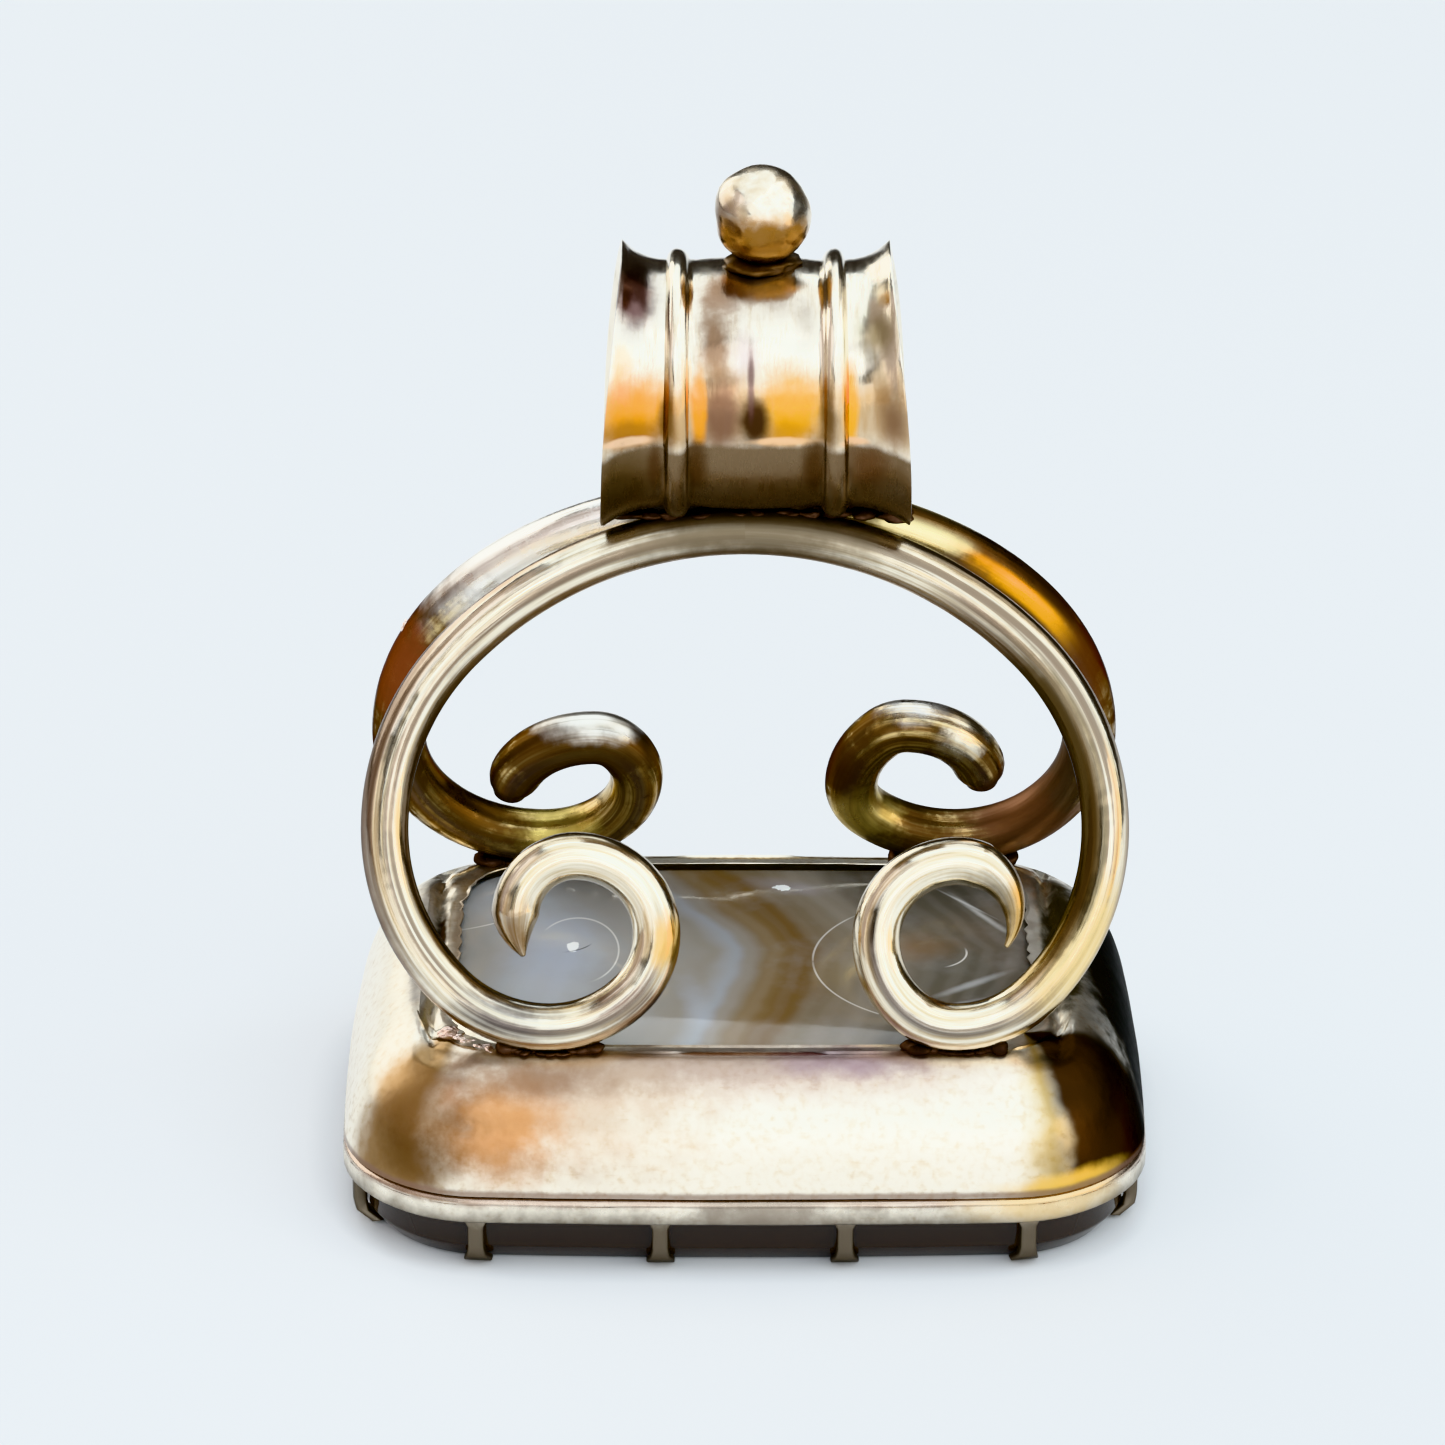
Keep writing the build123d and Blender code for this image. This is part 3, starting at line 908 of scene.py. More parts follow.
@dataclass
class Setting:
    """The claw band and the sloping collar that hold the agate, and the agate itself."""

    girdle: Cushion = Cushion(20.9, 15.8, 3.3, 0.30)
    rim: Cushion = Cushion(17.15, 11.9, 2.5, 0.12)
    window: Cushion = Cushion(15.05, 10.8, 1.9, 0.12)
    wall: float = 0.5
    lip_round: float = 0.07
    rim_round: float = 0.12
    window_round: float = 0.04
    seam: float = 2.16
    lip: float = 0.2
    rise: float = 2.98
    slope_steps: int = 22
    land_steps: int = 12
    groove_depth: float = 0.2
    groove_out: float = 8.05
    groove_width: float = 0.13
    ragged_start: float = 6.9
    ragged_end: float = 8.45
    chipped_end: float = 7.75
    band_floor: float = 1.46
    band_height: float = 0.66
    band_round: float = 0.2
    band_steps: int = 4
    foot_round: float = 0.06
    claw_count: int = 14
    claw_shift: float = 0.2
    claw_width: float = 0.5
    claw_flare: float = 0.78
    claw_thick: float = 0.34
    claw_lift: float = 0.05
    claw_lean: float = 0.42
    claw_round: float = 0.07
    stone_clear: float = 0.05
    stone_bevel: float = 0.5
    stone_bevel_in: float = 0.42
    stone_recess: float = 0.17
    stone_round: float = 0.05

    @property
    def rim_height(self) -> float:
        """Height of the rim's top."""
        return self.seam + self.lip + self.rise

    def slope(self, base: Cushion, top: Cushion, share: float) -> tuple[Cushion, float]:
        """The outline and height at a share of the way up the slope."""
        level = through(SLOPE, share)
        return base.towards(top, level.inset), self.seam + self.lip + self.rise * level.rise

    def rough_rim(self, mesh: Mesh) -> None:
        """Breaks up the rim's flat ends: a ragged groove, and a window edge that is chipped.

        Args:
            mesh: The collar.
        """
        for vert in mesh.verts:
            out = abs(vert.co.x)
            end = min(max((out - self.ragged_start) / 0.5, 0.0), 1.0)
            inside = min(max((self.ragged_end - out) / 0.3, 0.0), 1.0)
            if vert.co.z < self.rim_height - 0.25 or end * inside <= 0:
                continue
            wave = noise.noise(Vector((vert.co.x * 2.0, vert.co.y * 2.6, 3.0)))
            chip = noise.noise(Vector((vert.co.x * 1.1, vert.co.y * 5.5, 9.0)))
            groove = math.exp(-(((out - self.groove_out + 0.18 * chip) / self.groove_width) ** 2))
            vert.co.z -= end * inside * (0.05 + 0.05 * wave + self.groove_depth * groove)
            if out < self.chipped_end:
                vert.co.x -= math.copysign(end * (0.09 + 0.16 * chip), vert.co.x)

    def collar(self, material: Material) -> None:
        """The sloping sheet with its lip and its flat rim.

        Args:
            material: Its finish.
        """
        mesh = bmesh.new()
        top = self.rim_height
        inner = self.girdle.drawn_in(self.wall)
        ring = inner.draw(mesh, self.seam)
        ring = self.girdle.carry(mesh, ring, self.seam)
        lip_edge = self.girdle.carry(mesh, ring, self.seam + self.lip)
        ring = lip_edge
        for step in range(1, self.slope_steps + 1):
            outline, height = self.slope(self.girdle, self.rim, step / self.slope_steps)
            ring = outline.carry(mesh, ring, height)
        rim_edge = ring
        for step in range(1, self.land_steps):
            ring = self.rim.towards(self.window, step / self.land_steps).carry(mesh, ring, top)
        window_edge = self.window.carry(mesh, ring, top)
        ring = window_edge
        for share in (0.97, 0.9, 0.66, 0.33, 0.0):
            outline, height = self.slope(inner, self.window, share)
            ring = outline.carry(mesh, ring, height)
        inner.carry(mesh, ring, self.seam)
        bmesh.ops.remove_doubles(mesh, verts=mesh.verts, dist=MERGE)
        rounds = ((lip_edge, self.lip_round), (rim_edge, self.rim_round), (window_edge, self.window_round))
        for edges, offset in rounds:
            bevel(mesh, edges, offset, 3)
        hand_made(mesh, depth=0.05, scale=0.35, seed=4.0)
        self.rough_rim(mesh)
        finish_piece(mesh, "collar_sheet", material, Slot.SETTING, "collar", sharp=60)

    def band(self, material: Material) -> None:
        """The band round the girdle with its claws.

        Args:
            material: Its finish.
        """
        mesh = bmesh.new()
        top = self.band_floor + self.band_height
        inner = self.girdle.drawn_in(self.wall)
        foot = inner.draw(mesh, self.band_floor)
        bottom_edge = self.girdle.carry(mesh, foot, self.band_floor)
        ring = bottom_edge
        for step in range(1, self.band_steps + 1):
            height = self.band_floor + self.band_height * step / self.band_steps
            ring = self.girdle.carry(mesh, ring, height)
        top_edge = ring
        ring = inner.carry(mesh, ring, top)
        inner.carry(mesh, ring, self.band_floor)
        bmesh.ops.remove_doubles(mesh, verts=mesh.verts, dist=MERGE)
        bevel(mesh, top_edge, self.band_round, 6)
        bevel(mesh, bottom_edge, self.foot_round, 3)
        hand_made(mesh, depth=0.035, scale=0.5, seed=8.0)
        for place, inward in self.girdle.places(self.claw_count, self.claw_shift):
            self.add_claw(mesh, place, inward)
        finish_piece(mesh, "claw_band_metal", material, Slot.SETTING, "claw_band", sharp=60)

    def add_claw(self, mesh: Mesh, place: Vector, inward: Vector) -> None:
        """Adds one claw, from the band down and in over the stone's bevel.

        Args:
            mesh: The band.
            place: The claw's place on the girdle.
            inward: The direction to the stone.
        """
        root = self.wall - self.claw_thick
        waist = self.claw_width * 0.82
        # Each section's height, its width, and how far in its outside is.
        sections = (
            (self.band_floor + 0.3, self.claw_width * 1.25, root),
            (self.band_floor - 0.05, self.claw_width * 1.2, root),
            (self.band_floor - 0.25, waist, root),
            (self.stone_bevel + 0.12, waist, root),
            (self.stone_bevel - 0.12, self.claw_width, root + 0.1 * self.claw_lean),
            (self.claw_lift + 0.02, self.claw_flare, root + self.claw_lean),
        )
        before = set(mesh.verts)
        square = bmesh.ops.create_grid(mesh, x_segments=1, y_segments=1, size=0.5)["verts"]
        face = square[0].link_faces[0]
        bmesh.ops.scale(mesh, vec=(1, self.claw_thick, 1), verts=square)
        middle, width = Vector(), 1.0
        for height, wide, inwards in sections:
            target = Vector((0, inwards + self.claw_thick / 2, height))
            if height != sections[0][0]:
                face = bmesh.ops.extrude_discrete_faces(mesh, faces=[face])["faces"][0]
            verts = list(face.verts)
            bmesh.ops.translate(mesh, vec=-middle, verts=verts)
            bmesh.ops.scale(mesh, vec=(wide / width, 1, 1), verts=verts)
            bmesh.ops.translate(mesh, vec=target, verts=verts)
            middle, width = target, wide
        verts = [vert for vert in mesh.verts if vert not in before]
        edges = list({edge for vert in verts for edge in vert.link_edges if not edge.is_boundary})
        corners = [edge for edge in edges if edge.calc_face_angle(0) > math.radians(50)]
        bevel(mesh, corners, self.claw_round, 2)
        verts = [vert for vert in mesh.verts if vert not in before]
        outline_x = Vector((inward.y, -inward.x, 0))
        turned = Matrix((outline_x, inward, Vector((0, 0, 1)))).transposed().to_4x4()
        bmesh.ops.transform(mesh, matrix=Matrix.Translation(place) @ turned, verts=verts)

    def stone(self, material: Material) -> None:
        """The agate, from its seal face to the polished back in the window.

        Args:
            material: Its finish.
        """
        mesh = bmesh.new()
        side = self.girdle.drawn_in(self.wall + self.stone_clear)
        window = self.window.drawn_in(self.stone_clear)
        face_edge = side.drawn_in(self.stone_bevel_in).draw(mesh, 0)
        bevel_edge = side.carry(mesh, face_edge, self.stone_bevel)
        ring = side.carry(mesh, bevel_edge, self.seam + self.lip)
        for level in SLOPE[1:-1]:
            outline = side.towards(window, level.inset)
            ring = outline.carry(mesh, ring, self.seam + self.lip + self.rise * level.rise)
        top = self.rim_height - self.stone_recess
        ring = side.towards(window, 0.9).carry(mesh, ring, top - 0.1)
        top_edge = window.carry(mesh, ring, top)
        for cap in (face_edge, top_edge):
            bmesh.ops.edgeloop_fill(mesh, edges=cap)
        for edges in (face_edge, bevel_edge):
            bevel(mesh, edges, self.stone_round, 2)
        finish_piece(mesh, "agate", material, Slot.AGATE, "seal_stone", sharp=30)


@dataclass(frozen=True)
class Curl:
    """One side of a wire. Distances out are shares of the arch's half width, heights of its rise."""

    widest_up: float
    foot_out: float
    inner_out: float
    inner_up: float
    crest_out: float
    crest_up: float
    curl_turn: float
    curl_radius: float
    tip_turn: float
    tip_radius: float
    tip_end: float
    tip_power: float


@dataclass(frozen=True)
class Arc:
    """A stretch of a wire's path: its radius, its turn in degrees, and whether it is the tip."""

    radius: float
    turn: float
    is_tip: bool = False


@dataclass
class ScrolledWire:
    """A round wire bent flat into an arch with two curls, leaned in over the stone."""

    name: str
    node: str
    face: int
    diameter: float
    left: Curl
    right: Curl
    half_width: float = 9.16
    rise: float = 12.62
    half_gap: float = 0.05
    sides: int = 40
    step: float = 0.22
    step_turn: float = 5.0
    waver: float = 0.012

    @property
    def lean(self) -> float:
        """How far it leans in, in radians, so that its top is half the gap from the middle plane."""
        return math.asin((FOOT_DEPTH - self.diameter / 2 - self.half_gap) / self.rise)

    def quarter(self, reach: float, climb: float) -> list[Arc]:
        """Two tangent arcs that turn by a quarter in all.

        Args:
            reach: How far they go straight ahead.
            climb: How far they go across that.

        Returns:
            The arcs.
        """
        near = math.sin(math.radians(45))
        far = 1 - near
        first = (near * reach - far * climb) / (near - far)
        last = (near * climb - far * reach) / (near - far)
        return [Arc(first, 45), Arc(last, 45)]

    def arcs(self, curl: Curl) -> list[Arc]:
        """The arcs of one side, from the top of the arch to the tip of the curl.

        Args:
            curl: The side's shape.

        Returns:
            The arcs in order.
        """
        stations = (
            (0.0, 1.0),
            (1.0, curl.widest_up),
            (curl.foot_out, 0.0),
            (curl.inner_out, curl.inner_up),
            (curl.crest_out, curl.crest_up),
        )
        arcs: list[Arc] = []
        for index, (here, there) in enumerate(zip(stations, stations[1:])):
            across = abs(there[0] - here[0]) * self.half_width
            upright = abs(there[1] - here[1]) * self.rise
            arcs += self.quarter(across, upright) if index % 2 == 0 else self.quarter(upright, across)
        arcs.append(Arc(curl.curl_radius * self.half_width, curl.curl_turn))
        arcs.append(Arc(curl.tip_radius * self.half_width, curl.tip_turn, is_tip=True))
        return arcs

    def add_side(self, mesh: Mesh, start: list[Edge], curl: Curl, side: int) -> None:
        """Draws one side of the wire by turning its section along the arcs.

        Args:
            mesh: The mesh that holds the section at the top of the arch.
            start: The section's edges.
            curl: The side's shape.
            side: -1 for the left and 1 for the right.
        """
        grain = mesh.verts.layers.float_vector["grain"]
        point = Vector((0, self.rise, 0))
        heading = Vector((side, 0, 0))
        ring = start
        along = 0.0
        thick = 1.0
        for arc in self.arcs(curl):
            length = math.radians(arc.turn) * arc.radius
            steps = max(math.ceil(length / self.step), math.ceil(arc.turn / self.step_turn))
            small = -side * math.radians(arc.turn) / steps
            for index in range(1, steps + 1):
                left = Vector((-heading.y, heading.x, 0))
                centre = point - left * side * arc.radius
                last = bmesh.ops.spin(mesh, geom=ring, cent=centre, axis=(0, 0, 1), angle=small, steps=1)
                ring = only(Edge, last["geom_last"])
                verts = list({vert for edge in ring for vert in edge.verts})
                turned = Matrix.Rotation(small, 3, "Z")
                point = centre + turned @ (point - centre)
                heading = turned @ heading
                along += length / steps
                wanted = 1.0
                if arc.is_tip:
                    wanted = 1 - (1 - curl.tip_end) * (index / steps) ** curl.tip_power
                self.resize(mesh, verts, point, wanted / thick)
                thick = wanted
                self.mark(verts, point, heading, side, along, grain)
        self.close_tip(mesh, ring, point, heading, side, thick * self.diameter / 2, along)

    def resize(self, mesh: Mesh, verts: list[Vert], centre: Vector, factor: float) -> None:
        """Scales a section about its centre."""
        bmesh.ops.scale(mesh, vec=(factor,) * 3, verts=verts, space=Matrix.Translation(-centre))

    def mark(
        self,
        verts: list[Vert],
        centre: Vector,
        heading: Vector,
        side: int,
        along: float,
        grain: bmesh.types.BMLayerItem,
    ) -> None:
        """Writes how far along the wire a section is, and how its points face: inwards and out of plane.

        Args:
            verts: The section's points.
            centre: Its centre.
            heading: The wire's direction there.
            side: -1 for the left and 1 for the right.
            along: The distance along the wire.
            grain: The layer that takes it.
        """
        left = Vector((-heading.y, heading.x, 0))
        for vert in verts:
            out = (vert.co - centre).normalized()
            vert[grain] = Vector((side * along, -side * out.dot(left), out.z))

    def close_tip(
        self,
        mesh: Mesh,
        ring: list[Edge],
        point: Vector,
        heading: Vector,
        side: int,
        radius: float,
        along: float,
    ) -> None:
        """Rounds off the end of the wire.

        Args:
            mesh: The mesh that holds the wire.
            ring: The last section's edges.
            point: The last section's centre.
            heading: The wire's direction there.
            side: -1 for the left and 1 for the right.
            radius: The last section's radius.
            along: The distance along the wire.
        """
        grain = mesh.verts.layers.float_vector["grain"]
        size = 1.0
        for degrees in (25, 48, 68, 82):
            made = bmesh.ops.extrude_edge_only(mesh, edges=ring)["geom"]
            ring, verts = only(Edge, made), only(Vert, made)
            angle = math.radians(degrees)
            target = point + heading * radius * 0.8 * math.sin(angle)
            here = sum((vert.co for vert in verts), Vector()) / len(verts)
            bmesh.ops.translate(mesh, vec=target - here, verts=verts)
            self.resize(mesh, verts, target, math.cos(angle) / size)
            size = math.cos(angle)
            self.mark(verts, target, heading, side, along, grain)
        bmesh.ops.edgeloop_fill(mesh, edges=ring)

    def wire(self, material: Material) -> None:
        """The whole wire.

        Args:
            material: Its finish.
        """
        mesh = bmesh.new()
        grain = mesh.verts.layers.float_vector.new("grain")
        radius = self.diameter / 2
        section = bmesh.ops.create_circle(mesh, segments=self.sides, radius=radius)["verts"]
        bmesh.ops.rotate(mesh, matrix=Matrix.Rotation(math.radians(90), 3, "Y"), verts=section)
        bmesh.ops.translate(mesh, vec=(0, self.rise, 0), verts=section)
        self.mark(section, Vector((0, self.rise, 0)), Vector((1, 0, 0)), 1, 0, grain)
        start = list(mesh.edges)
        self.add_side(mesh, start, self.right, 1)
        self.add_side(mesh, start, self.left, -1)
        for vert in mesh.verts:
            along, inwards, out = vert[grain]
            wave = noise.noise(Vector((along * 0.45, inwards * 0.9, out * 0.9 + 5 * self.face)))
            drawn = noise.noise(Vector((along * 0.10, inwards * 3.0, out * 3.0)))
            vert.co.z += out * self.waver * (wave + 0.4 * drawn)
        up = Vector((0, -self.face * math.sin(self.lean), math.cos(self.lean)))
        across = Vector((1, 0, 0))
        stand = Matrix((across, up, across.cross(up))).transposed().to_4x4()
        foot = Matrix.Translation((0, self.face * FOOT_DEPTH, FOOT_HEIGHT + radius))
        bmesh.ops.transform(mesh, matrix=foot @ stand, verts=mesh.verts)
        finish_piece(mesh, self.name, material, Slot.WIRE, self.node, sharp=70)


@dataclass
class Bail:
    """The ribbed tube that the seal hangs by, and its bead."""

    centre: Point = (0.27, 0.0, 21.3208)
    bore: float = 5.3
    barrel: float = 6.3
    rib: float = 6.84
    rib_width: float = 0.66
    rib_out: float = 2.0
    foot_flare: float = 7.26
    top_width: float = 6.9
    foot_width: float = 8.0
    bead: float = 2.52
    bead_shift: float = 0.13
    bead_height: float = 4.49
    around: int = 144
    rib_steps: int = 8
    flare_steps: int = 8
    bulge: float = 0.10

    def profile(self) -> list[tuple[float, float]]:
        """The section of the tube's wall from the middle of the outside round to the middle of the bore.

        Returns:
            Points as a distance out along the axis and a radius.
        """
        barrel, crest, bore = self.barrel / 2, self.rib / 2, self.bore / 2
        half_rib = self.rib_width / 2
        rib_in, rib_out = self.rib_out - half_rib, self.rib_out + half_rib
        end, flare = self.foot_width / 2, self.foot_flare / 2
        points = [(0.0, barrel + 0.05), (0.55, barrel + 0.045), (1.1, barrel + 0.02)]
        points += [(rib_in - 0.16, barrel - 0.02), (rib_in - 0.03, barrel - 0.015)]
        for step in range(1, self.rib_steps):
            angle = math.pi * step / self.rib_steps
            across = self.rib_out - math.cos(angle) * half_rib
            points.append((across, barrel + (crest - barrel) * math.sin(angle)))
        points.append((rib_out + 0.03, barrel - 0.015))
        for step in range(1, self.flare_steps + 1):
            share = step / self.flare_steps
            across = rib_out + 0.06 + (end - 0.16 - rib_out) * share
            points.append((across, barrel + (flare - barrel) * share**2.1))
        points += [(end - 0.03, flare), (end, flare - 0.07), (end - 0.02, flare - 0.2)]
        points += [(end - 0.25, bore + 0.55), (end - 0.9, bore + 0.2), (end - 1.7, bore + 0.03)]
        return points + [(1.2, bore), (0.0, bore)]

    def half_width(self, height: float) -> float:
        """Half the tube's width at a height above its axis."""
        share = min(max(height / self.foot_flare + 0.5, 0.0), 1.0)
        return (self.foot_width + (self.top_width - self.foot_width) * share**1.25) / 2

    def tube(self, material: Material) -> None:
        """The ribbed tube with its slanted ends.

        Args:
            material: Its finish.
        """
        mesh = bmesh.new()
        profile = self.profile()
        loop = [(-x, r) for x, r in reversed(profile[1:])] + profile[:-1]
        verts = [mesh.verts.new((x, 0, r)) for x, r in loop]
        edges = [mesh.edges.new((a, b)) for a, b in zip(verts, verts[1:] + verts[:1])]
        whole = dict(cent=(0, 0, 0), axis=(1, 0, 0), angle=math.tau, steps=self.around, use_merge=True)
        bmesh.ops.spin(mesh, geom=edges, **whole)
        for vert in mesh.verts:
            out = abs(vert.co.x)
            if out > self.rib_out:
                reach = self.half_width(vert.co.z) - self.rib_out
                bulge = self.bulge * math.cos(vert.co.z / self.foot_flare * math.pi)
                stretch = (reach + bulge - 0.06) / (self.foot_width / 2 - self.rib_out)
                vert.co.x = math.copysign(self.rib_out + (out - self.rib_out) * stretch, vert.co.x)
        hand_made(mesh, depth=0.05, scale=0.42, seed=2.0)
        bmesh.ops.translate(mesh, vec=self.centre, verts=mesh.verts)
        finish_piece(mesh, "bail_tube", material, Slot.BAIL, "bail", sharp=70)

    def top_bead(self, material: Material) -> None:
        """The cast bead on top of the bail, with the solder that it sits in.

        Args:
            material: Its finish.
        """
        mesh = bmesh.new()
        x, y, z = self.centre
        radius = self.bead / 2
        middle = (x + self.bead_shift, y, z + self.bead_height)
        add_lump(mesh, middle, (radius, radius * 0.99, radius), 0.0, 0)
        for vert in mesh.verts:
            out = (vert.co - Vector(middle)).normalized()
            dent = noise.noise(out * 1.25 + Vector((3.1, 1.2, 0.7)))
            dent += 0.22 * noise.noise(out * 2.6 + Vector((0, 5, 1)))
            vert.co -= out * radius * 0.10 * max(0.25 + dent, 0.0)
        add_lump(mesh, (x + self.bead_shift, y, z + self.barrel / 2 + 0.06), (0.95, 0.8, 0.26), 0.22, 5.0)
        finish_piece(mesh, "bail_bead", material, Slot.BAIL, sharp=80)


@dataclass
class Solder:
    """The solder and grime in the joints, with dark lumps under the wires' feet that also stand in for the
    shadow there.

    A foot is its X, its face, half its length and half its width. A spot is its middle and its half sizes.
    """

    foot_rows: tuple[tuple[float, int, float, float], ...] = (
        (-4.97, -1, 1.10, 0.30),
        (5.37, -1, 1.10, 0.28),
        (-5.40, 1, 1.6, 0.42),
        (5.68, 1, 1.5, 0.42),
    )
    foot_lumps: int = 15
    spots: tuple[tuple[Point, Point], ...] = (
        ((-7.55, -4.55, 5.16), (0.32, 0.20, 0.22)),
        ((-7.28, -4.85, 5.10), (0.30, 0.20, 0.20)),
        ((-7.00, -5.12, 5.10), (0.34, 0.22, 0.22)),
        ((-6.72, -5.40, 5.14), (0.30, 0.22, 0.20)),
        ((-6.50, -5.62, 5.20), (0.22, 0.18, 0.16)),
        ((-8.80, 2.75, 13.25), (0.16, 0.18, 0.34)),
    )
    seat_start: float = -3.1
    seat_length: float = 6.9
    seat_out: float = 0.72
    seat_height: float = 18.02
    seat_lumps: int = 11

    def feet(self, material: Material) -> None:
        """Dark solder and grime under the four feet of the wires, which also paint the shadow under them.

        Args:
            material: Its finish.
        """
        mesh = bmesh.new()
        chance = random.Random(11)
        for x, face, length, width in self.foot_rows:
            for index in range(self.foot_lumps):
                share = 2 * index / (self.foot_lumps - 1) - 1
                rise = 0.16 * share * share
                reach = (
                    chance.uniform(0.22, 0.36),
                    width * chance.uniform(0.7, 1.1),
                    0.07 + rise * chance.uniform(0.4, 0.9),
                )
                where = (
                    x + share * length,
                    face * (FOOT_DEPTH + chance.uniform(-0.08, 0.08)),
                    FOOT_HEIGHT - 0.03 + 0.5 * rise,
                )
                add_lump(mesh, where, reach, 0.15, chance.uniform(0, 50), 3)
        finish_piece(mesh, "foot_solder_and_shade", material, Slot.SETTING, sharp=80)

    def spill(self, material: Material) -> None:
        """Pale solder that ran out past the front left foot, and a crumb on the back wire's left side.

        Args:
            material: Its finish.
        """
        mesh = bmesh.new()
        chance = random.Random(5)
        for where, reach in self.spots:
            add_lump(mesh, where, reach, 0.35, chance.uniform(0, 50))
        finish_piece(mesh, "pale_solder", material, Slot.SETTING, sharp=80)

    def under_bail(self, material: Material) -> None:
        """Rough solder along both sides of the bail's seat on the wires.

        Args:
            material: Its finish.
        """
        mesh = bmesh.new()
        chance = random.Random(23)
        for face in (-1, 1):
            for index in range(self.seat_lumps):
                x = self.seat_start + self.seat_length * index / (self.seat_lumps - 1)
                x += chance.uniform(-0.15, 0.15)
                reach = (chance.uniform(0.32, 0.5), chance.uniform(0.18, 0.30), chance.uniform(0.10, 0.20))
                where = (x, face * self.seat_out, self.seat_height + chance.uniform(-0.05, 0.05))
                add_lump(mesh, where, reach, 0.3, chance.uniform(0, 50), 3)
        finish_piece(mesh, "bail_solder", material, Slot.BAIL, sharp=80)


@dataclass(frozen=True)
class SoftBox:
    """A soft box: where it hangs round the seal, how much of the view it fills and how bright it is."""

    name: str
    azimuth: float
    elevation: float
    half_wide: float
    half_high: float
    radiance: float
    colour: Colour = (1.0, 1.0, 1.0)
    distance: float = 330.0


@dataclass
class Studio:
    """A pale floor, soft lights and the camera at the photograph's angle."""

    aim: Point = (-0.57, 0.0, 11.92)
    distance: float = 170.0
    elevation: float = 24.0
    lens: float = 163.9
    floor_size: float = 3000.0
    boxes: tuple[SoftBox, ...] = (
        SoftBox("key_box", 45, 41, 51, 27, 2.1, (0.83, 0.93, 1.0)),
        SoftBox("top_box", 10, 101, 26, 39, 1.8, (0.85, 0.94, 1.0)),
        SoftBox("fill_box", -36, 46, 24, 16, 0.9, (0.92, 0.95, 1.0)),
        SoftBox("low_box", 13, 7, 42, 14, 1.7, (0.93, 0.97, 1.0)),
        SoftBox("fill_low", -45, 8, 17, 17, 0.9, (1.0, 0.92, 0.78)),
        SoftBox("warm_box", 66, 8, 12, 15, 3.0, (1.0, 0.84, 0.52)),
        SoftBox("side_box", -130, 22, 26, 18, 2.7, (0.98, 1.0, 0.97)),
        SoftBox("left_wall", -82, 30, 24, 30, 0.6, (1.0, 0.86, 0.80)),
        SoftBox("right_wall", 113, 48, 18, 20, 0.6, (1.0, 0.93, 0.80)),
    )

    def floor(self) -> None:
        """Lays the floor, a hair below the seal's face."""
        graph = Graph("floor_paper")
        graph.shade(Base_Color=(0.78, 0.79, 0.81), Roughness=0.9)
        mesh = bmesh.new()
        bmesh.ops.create_grid(mesh, x_segments=1, y_segments=1, size=self.floor_size * MM / 2)
        bmesh.ops.translate(mesh, vec=(0, 0, -0.01 * MM), verts=mesh.verts)
        data = bpy.data.meshes.new("floor")
        mesh.to_mesh(data)
        mesh.free()
        data.materials.append(graph.material)
        floor = bpy.data.objects.new("floor", data)
        bpy.context.scene.collection.objects.link(floor)

    def light(self, box: SoftBox) -> None:
        """Hangs a soft box that faces the seal.

        Args:
            box: The soft box.
        """
        turn, climb = math.radians(box.azimuth), math.radians(box.elevation)
        away = Vector((math.sin(turn) * math.cos(climb), -math.cos(turn) * math.cos(climb), math.sin(climb)))
        data = bpy.data.lights.new(box.name, "AREA")
        data.shape = "RECTANGLE"
        data.size = 2 * box.distance * math.tan(math.radians(box.half_wide)) * MM
        data.size_y = 2 * box.distance * math.tan(math.radians(box.half_high)) * MM
        data.energy = box.radiance * math.pi * data.size * data.size_y
        data.color = box.colour
        light = bpy.data.objects.new(box.name, data)
        light.location = (Vector(self.aim) + away * box.distance) * MM
        light.rotation_euler = away.to_track_quat("Z", "Y").to_euler()
        light.visible_camera = False
        bpy.context.scene.collection.objects.link(light)

    def lights(self) -> None:
        """Hangs the soft boxes and sets the room's dim light."""
        for box in self.boxes:
            self.light(box)
        world = bpy.data.worlds.new("room")
        world.use_nodes = True
        background = world.node_tree.nodes["Background"]
        background.inputs["Color"].default_value = (0.045, 0.040, 0.038, 1)
        bpy.context.scene.world = world
        bpy.context.scene.view_settings.view_transform = "Khronos PBR Neutral"

    def camera(self) -> None:
        """Sets up the camera."""
        data = bpy.data.cameras.new("camera")
        data.lens = self.lens
        data.sensor_width = 36
        data.clip_start = 0.01
        camera = bpy.data.objects.new("camera", data)
        angle = math.radians(self.elevation)
        away = Vector((0, -math.cos(angle), math.sin(angle))) * self.distance
        camera.location = (Vector(self.aim) + away) * MM
        camera.rotation_euler = (math.radians(90 - self.elevation), 0, 0)
        bpy.context.scene.collection.objects.link(camera)
        bpy.context.scene.camera = camera


